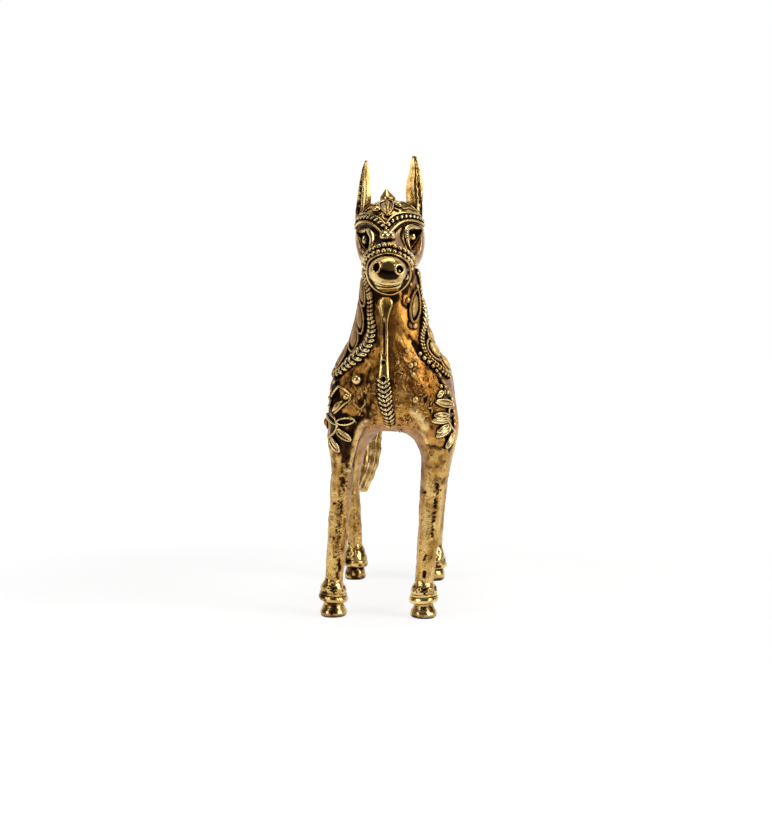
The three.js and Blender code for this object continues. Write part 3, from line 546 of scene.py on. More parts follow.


# Brass. light and deep are the metal's own shades, brown and dark its thin and thick patina and of the painted
# shade that goes with it, worn its rubbed crests, and bloomedAndShaded the brown-mauve of old lacquer and the
# painted shade of the legs' inner sides and the arch between them. Roughness runs from smooth to rough. Scales
# are per metre.
finishes = {
    "aged_brass": {
        "light": (0.74, 0.36, 0.07), "deep": (0.36, 0.138, 0.02), "dark": (0.02, 0.01, 0.004),
        "brown": (0.19, 0.075, 0.016), "worn": (0.93, 0.66, 0.26), "bloomedAndShaded": (0.43, 0.26, 0.165),
        "smooth": 0.25, "rough": 0.5, "mottle": 260, "pits": 1500, "specks": 0.55, "gleam": 0.35,
        "bump": 0.55, "bumpHeight": 0.0003, "polish": -0.12, "cavity": 1.3, "spread": 0.0024,
        "rubbed": (0.82, 0.535, 0.18), "rubbedDeep": (0.5, 0.27, 0.062),
    },
    "polished_brass": {
        "light": (0.9, 0.65, 0.255), "deep": (0.6, 0.36, 0.1), "dark": (0.02, 0.01, 0.004),
        "brown": (0.21, 0.095, 0.022), "worn": (0.95, 0.78, 0.42), "bloomedAndShaded": (0.5, 0.3, 0.19),
        "smooth": 0.12, "rough": 0.32, "mottle": 320, "pits": 1900, "specks": 0.25, "gleam": 0.25,
        "bump": 0.3, "bumpHeight": 0.00022, "polish": 0.25, "cavity": 1.3, "spread": 0.0018,
    },
    "relief_brass": {
        "light": (0.92, 0.665, 0.265), "deep": (0.6, 0.34, 0.09), "dark": (0.014, 0.007, 0.003),
        "brown": (0.19, 0.082, 0.019), "worn": (0.95, 0.76, 0.4), "bloomedAndShaded": (0.45, 0.29, 0.2),
        "smooth": 0.16, "rough": 0.36, "mottle": 400, "pits": 2100, "specks": 0.35, "gleam": 0.3,
        "bump": 0.32, "bumpHeight": 0.00022, "polish": 0.25, "cavity": 1.5, "spread": 0.0014,
    },
}


def nodeKit(tree):  # an emptied tree's ways to add a node, a sum, a mix of two colours, a change of range
    tree.nodes.clear()

    def node(kind, inputs=None, **settings):
        made = tree.nodes.new(kind)
        for key, value in settings.items():
            setattr(made, key, value)
        for key, value in (inputs or {}).items():
            if isinstance(value, bpy.types.NodeSocket):
                tree.links.new(value, made.inputs[key])
            else:
                made.inputs[key].default_value = value
        return made

    def maths(operation, a, b, clamp=False):
        return node("ShaderNodeMath", {0: a, 1: b}, operation=operation, use_clamp=clamp).outputs[0]

    def mixed(factor, a, b):
        return node("ShaderNodeMix", {0: factor, 6: a, 7: b}, data_type="RGBA").outputs[2]

    def spread(value, fromLow, fromHigh, toLow=0.0, toHigh=1.0, kind="LINEAR"):
        ends = {"From Min": fromLow, "From Max": fromHigh, "To Min": toLow, "To Max": toHigh}
        return node("ShaderNodeMapRange", {"Value": value, **ends}, interpolation_type=kind).outputs[0]

    return node, maths, mixed, spread


def makeBrass(name, look):
    # From deep to light with the mottle, then bloomed with lacquer and painted shade, rubbed, and brown to dark
    # as
    # dirtAndShade gathers: the sum of hollows, stains, specks and the painted patina, which also holds painted
    # shade, shadow and reflection. The roughness follows it, pits and rubbing.
    material = bpy.data.materials.new(name)
    material.use_nodes = True
    node, maths, mixed, spread = nodeKit(material.node_tree)
    place = node("ShaderNodeTexCoord").outputs["Object"]

    def noise(scale, detail, roughness=0.5):
        inputs = {"Vector": place, "Scale": scale, "Detail": detail, "Roughness": roughness}
        return node("ShaderNodeTexNoise", inputs).outputs["Fac"]

    mottle, broad, pits = noise(look["mottle"], 5), noise(look["mottle"] / 4, 3), noise(look["pits"], 6, 0.62)
    painted, rubbed, bloom = (node("ShaderNodeAttribute", attribute_name=kind).outputs["Fac"]
                              for kind in ("patinaAndShade", "rubbed", "bloom"))
    hollow = node("ShaderNodeAmbientOcclusion", {"Distance": look["spread"]}, samples=6).outputs["AO"]
    shut = spread(hollow, 0.35, 0.92, look["cavity"], 0.0)
    stain = spread(mottle, 0.30, 0.46, 0.30, 0.0)
    specks = spread(pits, 0.33, 0.43, look["specks"], 0.0)
    dirtAndShade = maths("ADD", maths("ADD", maths("ADD", shut, stain), specks), painted, clamp=True)
    patch = spread(maths("ADD", mottle, broad), 0.82, 1.18)
    shade = mixed(patch, (*look["deep"], 1), (*look["light"], 1))
    if "rubbed" in look:  # the legs, below 60 mm, are handled and shine yellower
        height = node("ShaderNodeSeparateXYZ", {"Vector": place}).outputs["Z"]
        legs = spread(maths("ADD", height, maths("MULTIPLY", broad, 0.012)), 0.056, 0.068, 1.0, 0.0)
        shade = mixed(legs, shade, mixed(patch, (*look["rubbedDeep"], 1), (*look["rubbed"], 1)))
    # lacquer bloom, and painted shade and floor reflection on the legs' inner sides and the arch between them
    shade = mixed(maths("MULTIPLY", bloom, 0.85), shade, (*look["bloomedAndShaded"], 1))
    worn = maths("ADD", spread(pits, 0.56, 0.68, 0.0, look["gleam"]), rubbed, clamp=True)
    shade = mixed(worn, shade, (*look["worn"], 1))
    browned = mixed(spread(dirtAndShade, 0.0, 0.75), shade, (*look["brown"], 1))  # thin patina and faint painted shade are brown, thick black
    colour = mixed(spread(dirtAndShade, 0.5, 1.0), browned, (*look["dark"], 1))
    level = maths("ADD", maths("MULTIPLY", dirtAndShade, 0.6), pits)
    level = maths("SUBTRACT", level, maths("MULTIPLY", worn, look["polish"]))
    if "rubbed" in look:
        level = maths("SUBTRACT", level, maths("MULTIPLY", legs, 0.22))
    roughness = spread(level, 0.25, 1.1, look["smooth"], look["rough"])
    roughness = maths("ADD", roughness, maths("MULTIPLY", bloom, 0.2))
    height = maths("ADD", maths("MULTIPLY", mottle, 0.8), pits)
    bump = {"Height": height, "Strength": look["bump"], "Distance": look["bumpHeight"]}
    normal = node("ShaderNodeBump", bump).outputs["Normal"]
    brass = node("ShaderNodeBsdfPrincipled", {
        "Base Color": colour, "Metallic": 1.0, "Roughness": roughness, "Normal": normal})
    node("ShaderNodeOutputMaterial", {"Surface": brass.outputs["BSDF"]})
    return material


brasses = {name: makeBrass(name, look) for name, look in finishes.items()}
print("brass mixed")


# Shanks, from the joint down to the fetlock.
shanks = {
    "front_left": {"y": 0, "rows": [(12, 10.95, 2.95, 3), (25, 12.15, 3.45, 3.55), (38.5, 13.4, 3.9, 4.05)]},
    "front_right": {
        "y": 0, "rows": [(12, -18.25, 2.85, 2.9), (25, -17.15, 3.2, 3.3), (38.5, -16.2, 3.4, 3.65)],
    },
    "rear_left": {"y": 72, "rows": [(12, 10.6, 2.9, 3), (25, 11.2, 3.2, 3.4), (38.5, 12.5, 3.55, 3.75)]},
    "rear_right": {"y": 72, "rows": [(12, -18.5, 2.7, 3), (25, -19, 2.6, 3.3), (38.5, -19.2, 2.6, 3.65)]},
}


# Where shank and thigh pass through each other, how far they are drawn in, and where a shank's field ends.
joint = {"top": 42.6, "blend": 2.0, "draw": 0.7, "fieldTop": 40, "fieldFoot": 2}


def shankField(p, name):  # the column of a shank between its ends
    foot = shanks[name]["rows"][0][0] - joint["fieldFoot"]
    return np.maximum(columnField(p, shanks[name]), np.maximum(foot - p[..., 2], p[..., 2] - joint["fieldTop"]))


def legField(p):  # body and front shanks together, for marks that run over the joint
    return np.minimum(bodyField(p), np.minimum(shankField(p, "front_left"), shankField(p, "front_right")))


def castRough(points):
    # Height of the cast skin: grains of two sizes, streaks along the legs, and wormy ridges over the chest,
    # which are high where a grain passes through zero.
    legs = 1 - within(points[:, 2], 48, 64)
    streaks = 0.17 * grain(points * np.array([1, 1, 0.25]), 1.25, 5) + 0.09 * grain(points, 0.8, 6)
    chestArea = within(-points[:, 1], 1, 6) * within(points[:, 2], 57, 62) * (1 - within(points[:, 2], 84, 97))
    worms = 0.26 * (1 - np.abs(grain(points, 2.0, 7))) ** 5
    worms = worms + 0.17 * (1 - np.abs(grain(points, 1.1, 9))) ** 4 - 0.09
    return 0.10 * grain(points, 3.4, 1) + 0.09 * grain(points, 1.5, 2) + legs * streaks + chestArea * worms


# Marks on the legs. Cuts: picture points, reach and depth in mm, patina. Pits: picture points of a line, how
# many, how far they stray from it and their radius in mm.
legCuts = [
    ([(343.4, 466), (342, 490), (340.8, 512)], 1.9, 0.15, 0.62),
    ([(340.2, 512), (338.8, 545), (337.4, 574)], 1.3, 0.1, 0.5),
    ([(437, 482), (434.8, 515), (432, 540)], 1.5, 0.1, 0.5), ([(431.4, 545), (429, 575)], 1.1, 0.1, 0.4),
    ([(424.4, 572.6), (424.2, 576)], 1, 0.6, 1), ([(421.6, 588.6), (428, 590), (435, 588.4)], 0.7, 0.3, 0.9),
    ([(339.6, 562), (338.6, 577)], 1.5, 0.25, 0.68), ([(333.6, 538), (335, 556)], 0.9, 0.25, 0.6),
    ([(430.6, 541), (429.6, 552)], 0.8, 0.2, 0.6), ([(426, 555), (424, 560)], 0.6, 0.25, 0.8),
    ([(345.4, 520), (343.6, 538), (342.4, 552)], 1.3, 0, 0.45),
    ([(348.4, 520), (347.8, 548), (346.6, 572)], 0.5, -0.15, 0),
    ([(341.6, 494), (340.4, 530), (339, 556)], 0.6, -0.18, 0),
    ([(427.6, 512), (426, 540), (424.8, 560)], 0.7, -0.15, 0),
    ([(441, 500), (439.6, 520), (437.8, 545)], 0.6, -0.12, 0), ([(333.2, 503.4), (335, 503.6)], 0.6, 0.3, 1),
    ([(351.6, 503), (353.2, 502.4)], 0.6, 0.3, 1), ([(423.4, 492.6), (425.2, 492.4)], 0.7, 0.35, 1),
    ([(445.4, 491.4), (446.8, 491.2)], 0.6, 0.3, 1),
]
legPits = [
    ([(437.4, 480), (436.8, 497), (435.5, 504), (434.6, 517), (433.2, 526), (431.9, 538)], 46, 0.34, 0.44),
    ([(434, 492), (441, 490)], 7, 0.3, 0.4),
    ([(343, 476), (341.6, 484), (342.4, 492), (340.6, 502), (340.2, 512)], 30, 0.75, 0.42),
    ([(346.4, 480), (347.8, 490), (345.6, 500)], 10, 0.6, 0.34),
    ([(339.6, 520), (338.6, 545), (337.4, 566)], 16, 1, 0.3), ([(430, 556), (428, 566)], 5, 0.7, 0.26),
    ([(344, 446), (344.6, 462), (344, 476)], 20, 0.8, 0.3),
    ([(429, 452), (430, 470), (432, 484)], 16, 0.8, 0.28),
    ([(345, 585), (338, 590), (332, 588)], 9, 0.4, 0.34),
    ([(420, 582), (428, 586), (434, 584)], 8, 0.5, 0.32),
]


def pitSpots(field, lines):  # places and radii of pits, strewn beside each line by fixed luck
    spots, radii = [], []
    for index, (pixels, count, stray, radius) in enumerate(lines):
        path = curve(seen(field, pixels), 60)
        i = np.arange(count)
        luck = [hashed(i, 5 * i + k, index, 23) for k in range(4)]
        centre = path[(59 * luck[0]).astype(int)]
        heading = unit(np.gradient(path, axis=0))[(59 * luck[0]).astype(int)]
        side = unit(np.cross(heading, slopeOf(field, centre)))
        spots.append(settle(field, centre + side * (stray * (2 * luck[1] - 1))[:, None]))
        radii.append(radius * (0.55 + 0.75 * luck[2]))
    return np.concatenate(spots), np.concatenate(radii)


def sunk(points, spots, radii):  # how far the pits move each point inwards, and their patina
    depth, dark = np.zeros(len(points)), np.zeros(len(points))
    for spot, radius in zip(spots, radii):
        close = 1 - within(np.linalg.norm(points - spot, axis=1), 0.35 * radius, 1.15 * radius)
        depth = np.maximum(depth, 0.55 * radius * close)
        dark = np.maximum(dark, within(close, 0.05, 0.6))
    return depth, dark


def innerSideShade(points, out):  # painted shade and painted reflection of the floor: mauve-grey on the legs' inner sides and on the underside of the arch between them, by the way they face
    inward = np.where(points[:, 0] > -1.2, -out[:, 0], out[:, 0])
    high = within(points[:, 2], 30, 44) * (1 - within(points[:, 2], 60, 66))
    return high * np.maximum(0.75 * within(inward, 0.45, 0.85), 0.8 * within(-out[:, 2], 0.2, 0.6))


def makeShank(name):  # ellipses (x + a cos, y + b sin, z) by its rows, drawn in where it meets the thigh
    form = shanks[name]
    rows = form["rows"] + thighs[name]["rows"][1:3]
    count, columns = ((220, 76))
    height = np.linspace(rows[0][0] - 1.5, joint["top"], count)
    section = through(rows, height)
    section[:, 1:] -= joint["draw"] * within(height, joint["top"] - joint["blend"], joint["top"])[:, None]
    angle = turns(columns)
    x = section[:, :1] + section[:, 1:2] * np.cos(angle)
    y = form["y"] + section[:, 2:3] * np.sin(angle)
    rings = np.stack([x, y, np.repeat(height[:, None], columns, axis=1)], axis=-1)
    points, faces = closedSkin(rings)
    out = np.concatenate([np.stack([np.cos(angle), np.sin(angle), 0 * angle], axis=-1)[None].repeat(count, 0)
                          .reshape(-1, 3), [[0, 0, -1], [0, 0, 1]]])
    carved, dark, rubbed = points, np.zeros(len(points)), np.zeros(len(points))
    if name.startswith("front"):
        carved, dark, rubbed, _ = carve(points, legField, legCuts)
        depth, pitted = sunk(points, *legSpots)
        carved, dark = carved - depth[:, None] * out, np.maximum(dark, pitted)
    rough = castRough(points)
    dark = np.maximum(dark, 0.7 * within(-rough, 0.08, 0.32))
    # painted shade: the sides that face straight across are darkened, and the rear shanks darker all over, a
    # painted shadow of the body
    edge = 0.35 * within(np.abs(out[:, 0]), 0.75, 1.0) * (0.6 + 0.4 * grain(points, 2.0, 8))
    if name.startswith("rear"):
        edge = np.maximum(edge, 0.22 + 0.15 * grain(points, 2.6, 12))
    end, side = name.split("_")
    makePiece(f"{name}Shank", (carved + rough[:, None] * out, faces), "aged_brass", [f"{end}_shank_{side}"],
              np.maximum(dark, edge), np.maximum(rubbed, 0.6 * within(rough, 0.12, 0.35)),
              innerSideShade(points, out))


# Feet: turned profiles (radius, height), lumpy and a little out of true.
feet = {
    "hoof": [
        (0, 0), (3.6, 0), (4.15, 0.45), (4.4, 1.3), (4.2, 2.1), (3.6, 3.1), (3.2, 3.9), (3.2, 4.6),
        (3.4, 5.4), (0, 5.4),
    ],
    "ring": [(0, 4.8), (3.9, 4.8), (4.55, 5.2), (4.85, 6), (4.6, 6.8), (3.9, 7.1), (0, 7.1)],
    "fetlock": [
        (0, 6.8), (3.9, 6.8), (4.4, 7.15), (4.4, 7.6), (4.05, 7.9), (4.3, 8.6), (4.15, 9.7), (3.5, 10.7),
        (3, 11.6), (2.8, 12.2), (0, 12.2),
    ],
    "rearHoof": [
        (0, 0), (3.2, 0), (3.65, 0.5), (3.8, 1.5), (3.75, 2.6), (3.5, 3.6), (3.1, 4.4), (3, 5), (0, 5),
    ],
    "rearRing": [(0, 4.6), (3.9, 4.6), (4.5, 5.2), (4.65, 6), (4.45, 6.9), (4, 7.3), (0, 7.3)],
    "rearFetlock": [
        (0, 6.8), (4, 6.8), (4.3, 7.4), (4.1, 8.6), (3.7, 9.8), (3.3, 11.2), (2.95, 12.4), (2.8, 13.2),
        (0, 13.2),
    ],
    "tilts": {
        "front_right": (-4.6, 1.5), "front_left": (2.8, 1), "rear_left": (2, 3), "rear_right": (-2.5, -3),
    },
    "columns": 72,
    "lumps": {"front": 0.26, "rear": 0.44},
    "steps": 9,
}


def turnedRings(profile, centre, lumps, tilt):  # x, y = radius (cos, sin) of the angle, z tilted in degrees
    profile = np.asarray(profile, float)
    t = np.arange(len(profile))
    fine = np.linspace(0, len(profile) - 1, feet["steps"] * (len(profile) - 1) + 1)
    radius, height = np.interp(fine, t, profile[:, 0]), np.interp(fine, t, profile[:, 1])
    angle = turns(feet["columns"])
    x, y = radius[:, None] * np.cos(angle), radius[:, None] * np.sin(angle)
    lifted = within(height, 0.2, 2.5)[:, None]
    z = height[:, None] + lifted * math.radians(1) * (tilt[0] * x + tilt[1] * y)
    rings = np.stack([x + centre[0], y + centre[1], z], axis=-1)[1:-1]
    lump = 0.65 * grain(rings, 2.6, 31) + 0.35 * grain(rings, 1.1, 32)
    away = rings - np.array([*centre, 0])
    away[..., 2] = 0
    return rings + unit(away) * (lumps * lump * (np.linalg.norm(away, axis=-1) > 1.0))[..., None], lump


def turnedSkin(profile, centre, end, tilt=(0, 0)):  # its mesh with the patina of its lows
    rings, lump = turnedRings(profile, centre, feet["lumps"][end], tilt)
    points, faces = closedSkin(rings)
    dark = 0.7 * within(-lump, 0.2, 0.55) if end == "front" else 0.1 + 0.8 * within(-lump, 0.05, 0.4)
    return points, faces, np.concatenate([dark.ravel(), [0, 0]])


def makeFoot(name):  # a hoof, and the anklet's ring and fetlock over it
    end, side = name.split("_")
    low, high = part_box(f"{end}_hoof_{side}")
    centre = 1000 * np.array([(low.x + high.x) / 2, (low.y + high.y) / 2]) - benchShift[:2]
    kinds = ("hoof", "ring", "fetlock") if end == "front" else ("rearHoof", "rearRing", "rearFetlock")
    points, faces, dark = turnedSkin(feet[kinds[0]], centre, end)
    makePiece(f"{name}Hoof", (points, faces), "polished_brass", [f"{end}_hoof_{side}"], dark)
    ring = turnedSkin(feet[kinds[1]], centre, end, feet["tilts"][name])
    fetlock = turnedSkin(feet[kinds[2]], centre, end, feet["tilts"][name])
    if end == "front":  # the wax of the fetlock was pricked all round
        i = np.arange(64)
        angle, height = 2 * np.pi * hashed(i, i, 3, 41), 8.0 + 3.6 * hashed(i, 2 * i, 5, 43)
        spots = np.stack([centre[0] + 4.1 * np.cos(angle), centre[1] + 4.1 * np.sin(angle), height], axis=-1)
        out = unit(fetlock[0] - np.array([*centre, 9]))
        depth, pitted = sunk(fetlock[0], spots, 0.28 + 0.3 * hashed(i, 7 * i, 2, 47))
        fetlock = (fetlock[0] - depth[:, None] * out, fetlock[1], np.maximum(fetlock[2], pitted))
    makePiece(f"{name}Anklet", joined(ring[:2], fetlock[:2]), "polished_brass", [f"{end}_anklet_{side}"],
              np.concatenate([ring[2], fetlock[2]]))


# Threads, beads and leaves are swept or set along lines that lie on the casting.
def lengthAlong(path):  # the running sum of the steps between its points
    return np.concatenate([[0], np.cumsum(np.linalg.norm(np.diff(path, axis=0), axis=1))])


def valuesAt(values, length, places):  # rows of values at these lengths
    return np.stack([np.interp(places, length, values[:, i]) for i in range(values.shape[1])], axis=1)


def curve(points, count, loop=False):  # Hermite curve through points, by chord length, evenly resampled
    points = np.asarray(points, float)
    if loop:
        points = np.concatenate([points[-3:], points, points[:4]])
    chord = lengthAlong(points)
    low, high = (chord[3], chord[-4]) if loop else (chord[0], chord[-1])
    fine = through(np.column_stack([chord, points]), np.linspace(low, high, 8 * count))
    length = lengthAlong(fine)
    even = np.linspace(0, length[-1], count + 1)[:-1] if loop else np.linspace(0, length[-1], count)
    return valuesAt(fine, length, even)


def laid(points, field, spacing, lift, loop=False):  # even points along a line on the skin, with the way out
    points = np.asarray(points, float)
    closing = points[:1] if loop else points[:0]
    span = np.linalg.norm(np.diff(np.concatenate([points, closing]), axis=0), axis=1).sum()
    count = max(int(round(span / spacing)), 6)
    path = settle(field, curve(points, count, loop), lift)
    path = curve(path, count, loop)
    path = settle(field, path, lift, rounds=2)
    noted(field, path)
    return path, unit(slopeOf(field, path, 0.2))


def tangents(path, loop=False):  # the way from the point before to the point after
    if loop:
        return unit(np.roll(path, -1, axis=0) - np.roll(path, 1, axis=0))
    return unit(np.gradient(path, axis=0))


def sweep(path, out, across, upward, loop=False, sides=10, section=None):
    # centre + across * half width * cos + up * half height * sin, with the ends drawn in over three rings
    path, out = np.asarray(path, float), np.asarray(out, float)
    wide = np.broadcast_to(np.asarray(across, float), (len(path),)).copy()
    tall = np.broadcast_to(np.asarray(upward, float), (len(path),)).copy()
    along = tangents(path, loop)
    side = unit(np.cross(along, out))
    up = np.cross(side, along)
    if not loop:
        draw = np.array([0.35, 0.72, 0.93])
        ahead = np.sqrt(1 - draw ** 2)
        front = path[0] - along[0] * (ahead * tall[0])[:, None]
        back = path[-1] + along[-1] * (ahead[::-1] * tall[-1])[:, None]
        path = np.concatenate([front, path, back])
        side = np.concatenate([np.repeat(side[:1], 3, 0), side, np.repeat(side[-1:], 3, 0)])
        up = np.concatenate([np.repeat(up[:1], 3, 0), up, np.repeat(up[-1:], 3, 0)])
        wide = np.concatenate([draw * wide[0], wide, draw[::-1] * wide[-1]])
        tall = np.concatenate([draw * tall[0], tall, draw[::-1] * tall[-1]])
    angle = turns(sides)
    a, b = (np.cos(angle), np.sin(angle)) if section is None else section
    rings = (path[:, None] + side[:, None] * (wide[:, None] * a)[..., None]
             + up[:, None] * (tall[:, None] * b)[..., None])
    if loop:
        return rings.reshape(-1, 3), [gridFaces(len(rings), rings.shape[1], closeRows=True)]
    return closedSkin(rings)


def twisted(path, out, radius, pitch, sides):
    # two strands of half the radius that wind round a loop, one turn in about each pitch
    ahead = tangents(path, True)
    side = unit(np.cross(ahead, out))
    up = np.cross(side, ahead)
    length = lengthAlong(path)
    total = length[-1] + np.linalg.norm(path[0] - path[-1])
    pitch = total / max(round(total / pitch), 1)
    parts = []
    for start in (0, 0.5):
        phase = 2 * np.pi * (length / pitch + start)
        away = side * np.cos(phase)[:, None] + up * np.sin(phase)[:, None]
        parts.append(sweep(path + away * (0.5 * radius), away, 0.54 * radius, 0.54 * radius, True, sides))
    return joined(*parts)


def pebbleShape(rows, columns, pointed=1.0):  # unit body of revolution: radius (1 - x^2) ^ (pointed / 2)
    x = -np.cos(np.linspace(0, np.pi, rows + 2))[1:-1]
    radius = (1 - x * x) ** (pointed / 2)
    angle = turns(columns)
    rings = np.stack([np.repeat(x[:, None], columns, 1), radius[:, None] * np.cos(angle),
                      radius[:, None] * np.sin(angle)], axis=-1)
    points, faces = closedSkin(rings)
    points[-2], points[-1] = (-1, 0, 0), (1, 0, 0)
    return points, faces


def setAlong(shape, centres, ahead, out, sizes):  # a copy of a shape in each place, sizes its three halves
    points, faces = shape
    sizes = np.broadcast_to(np.asarray(sizes, float), (len(centres), 3))
    ahead = unit(ahead - (ahead * out).sum(-1, keepdims=True) * out)
    axes = np.stack([ahead, np.cross(out, ahead), out], axis=1)
    local = points[None] * sizes[:, None]
    placed = centres[:, None] + np.einsum("nij,nmi->nmj", axes, local)
    shift = len(points) * np.arange(len(centres))
    spread = [(f[None] + shift[:, None, None]).reshape(-1, f.shape[1]) for f in faces]
    return placed.reshape(-1, 3), spread


def wired(field, lines, spacing, lift, wide, tall):  # a wire along each line of picture points
    return [sweep(*laid(seen(field, line), field, spacing, lift), wide, tall) for line in lines]


def dress(node, mesh, slot, field, shade, shine=None, finish=None):
    # A piece for one node, with patina at its feet and rubbed crests: the heights over the casting between which
    # the patina ends, then the strength of the rub and the heights between which it sets in.
    first, *others = node.split("_")
    height = field(mesh[0])
    rubbed = None if shine is None else shine[0] * within(height, *shine[1:])
    makePiece(first + "".join(word.capitalize() for word in others), mesh, slot, [node],
              1 - within(height, *shade), rubbed, finish=finish)


seed = pebbleShape(9, 10, 1.7)


def beads(path, out, radius, spacing, low):  # balls along a line, low of each one's height in the casting
    length = lengthAlong(path)
    count = max(int(round(length[-1] / spacing)), 2)
    places = np.linspace(0, length[-1], count)
    centre, away = valuesAt(path, length, places), unit(valuesAt(out, length, places))
    wobble = 1 + 0.09 * np.sin(7.3 * np.arange(count))
    sizes = radius * wobble[:, None] * np.array([1.0, 1.05, 1.0])
    raised = centre + away * (radius * (1 - 2 * low))
    return setAlong(pebbleShape(6, 8), raised, tangents(centre), away, sizes)


def plait(path, out, half, spacing, spread, lean, height):
    # two rows of slanted grains that meet in the middle like a braid; half is the half width along the path
    length = lengthAlong(path)
    places = [0.4 * spacing]
    while places[-1] < length[-1] - 0.4 * spacing:
        places.append(places[-1] + spacing * (0.55 + 0.45 * np.interp(places[-1], length, half) / half.mean()))
    places = np.array(places)
    centre, away = valuesAt(path, length, places), unit(valuesAt(out, length, places))
    ahead = unit(valuesAt(tangents(path), length, places))
    side, width = np.cross(ahead, away), np.interp(places, length, half)
    parts = []
    for turn in (-1, 1):
        wobble = 1 + 0.10 * np.sin(5.1 * np.arange(len(places)) + turn)
        middle = centre + turn * side * (spread * width)[:, None] + away * (0.18 * width)[:, None]
        thick = np.full(len(places), 0.47 * spacing) * (0.6 + 0.4 * width / width.mean())
        sizes = np.stack([0.86 * width * wobble, thick, height * (0.35 + 0.65 * width)], axis=1)
        parts.append(setAlong(pebbleShape(9, 12, 1.0), middle, lean * ahead - turn * side, away, sizes))
    return joined(*parts)


# Browband: three strands that arch over each eye and dip between them. Picture points of each, and its height
# up the head's side; then places down the skull's sides as (across, ahead), and how much they rise to the back.
browBand = {
    "upper": {
        "line": [
            (353.6, 220.4), (357.6, 216.6), (363.2, 214.6), (369.5, 214.7), (375.1, 216.4), (380, 219.4),
            (383.5, 222.6), (386.2, 225.4), (387.8, 221.6), (390.4, 218.8), (394, 215.9), (399.7, 213.8),
            (406.7, 213.3), (413.7, 214.4), (419.3, 216.8), (422.8, 219.2),
        ], "up": 5,
    },
    "rope": {
        "line": [
            (353.4, 223.2), (357, 220.4), (361.4, 218.6), (367, 217.8), (373, 218.9), (378.6, 222),
            (382.6, 225.8), (385.8, 229.6), (388.6, 226), (391.4, 222.8), (395.6, 219.8), (401, 217.9),
            (406.7, 217.1), (412.3, 217.5), (417.9, 219), (422.8, 221.4),
        ], "up": 3.6,
    },
    "lower": {
        "line": [
            (354.1, 228), (359, 223.9), (365.3, 222.1), (370.9, 223.1), (375.1, 226.4), (378.6, 230),
            (381.6, 233.2), (386, 235), (391, 232.2), (394.2, 228.4), (398.3, 224.5), (403.2, 221.9),
            (409.5, 220.9), (415, 221.7), (419.3, 223.3), (423.1, 225.4),
        ], "up": 2.1,
    },
    "wireRadius": 0.4,
    "grain": (0.92, 0.5, 0.62),
    "grainSpacing": 1.62,
    "grainSlant": 0.85,
    "sides": [(10.4, 8.5), (9.3, 3.4), (7.2, 0)],
    "sideRise": 0.05,
}


def browPath(strand, spacing, lift):  # up the skull's right side, over the forehead and down its left side
    sides, rise = browBand["sides"], browBand["sideRise"]
    places = np.array([(a, b, browBand[strand]["up"] + rise * (sides[0][1] - b)) for a, b in sides])
    front = seen(headField, browBand[strand]["line"])
    line = np.concatenate([fromHead(places[::-1] * (-1, 1, 1)), front, fromHead(places)])
    return laid(line, headField, spacing, lift)


def makeBrowBand():  # two wires, and between them a rope of slanted grains on a core
    for strand in ("upper", "lower"):
        wire = sweep(*browPath(strand, 0.45, 0.25), browBand["wireRadius"], browBand["wireRadius"] * 1.2)
        dress(f"brow_wire_{strand}", wire, "relief_brass", headField, (0, 0.32))
    path, out = browPath("rope", 0.16, 0.2)
    length = lengthAlong(path)
    places = np.linspace(0, length[-1], int(length[-1] / browBand["grainSpacing"]))
    centre, away, ahead = (valuesAt(values, length, places) for values in (path, unit(out), tangents(path)))
    heading = ahead + browBand["grainSlant"] * np.cross(away, ahead)
    grains = setAlong(pebbleShape(9, 12, 1.1), centre + 0.12 * away, heading, away, [browBand["grain"]])
    rope = joined(grains, sweep(path, out, 0.5, 0.3))
    dress("brow_rope", rope, "relief_brass", headField, (0.34, 0.74), (1, 0.55, 0.8))


makeBrowBand()

# Forehead: a leaf with looped rims and a midrib between two drops, over cast curls.
forehead = {
    "wires": [
        [
            (386.6, 214.6), (382.4, 211), (379.4, 206.4), (381, 202.6), (385.4, 201.2), (388.6, 203),
            (388.2, 207.6),
        ], [(388.8, 214.6), (392, 210), (393.4, 205.6), (391.6, 201.6), (388.2, 200.6)],
        [(357.6, 213.4), (363, 208.6), (368.6, 205.4), (374.6, 205.6)],
        [(399, 202.8), (405, 203.4), (411.6, 207), (418.6, 212.4)],
        [(366, 211.6), (370.4, 208.6), (374, 208.8)], [(403.6, 209.6), (408.6, 208.4), (413.6, 210.8)],
        [(386.8, 203), (387.8, 208), (388.2, 213)],
    ],
    "wireRadius": 0.3,
    "tip": (388.4, 215),
    "drops": {"right": [(373.2, 211), (381.2, 210.4)], "left": [(394, 204.6), (401.2, 208.2)]},
    "dropHalfWidth": 1,
}


def makeForehead():  # wires and a tip for the leaf, and a ball stretched between the ends of each drop
    radius, half = forehead["wireRadius"], forehead["dropHalfWidth"]
    parts = wired(headField, forehead["wires"], 0.3, 0.12, radius, 1.3 * radius)
    tip, out = perched(headField, [forehead["tip"]], 0.25)
    leaf = joined(*parts, setAlong(pebbleShape(8, 12), tip, np.array([[1.0, 0, 0]]), out, [[0.85, 0.6, 0.6]]))
    dress("forehead_leaf", leaf, "relief_brass", headField, (0, 0.3))
    for own, pixels in forehead["drops"].items():
        ends, middle, out, length = spanned(headField, pixels, 0.45)
        noted(headField, settle(headField, ends, 0.2))
        drop = setAlong(pebbleShape(9, 14, 1.2), middle, (ends[1] - ends[0])[None], out, [(length, half, half)])
        dress(f"forehead_drop_{own}", drop, "polished_brass", headField, (0.1, 0.5))


makeForehead()

# Nose stud: two balls side by side, pressed together, under a small grain.
noseStud = {"pixels": [(385.3, 237.8), (390.6, 237.6)], "radius": 1.68, "grain": (388.0, 232.2)}


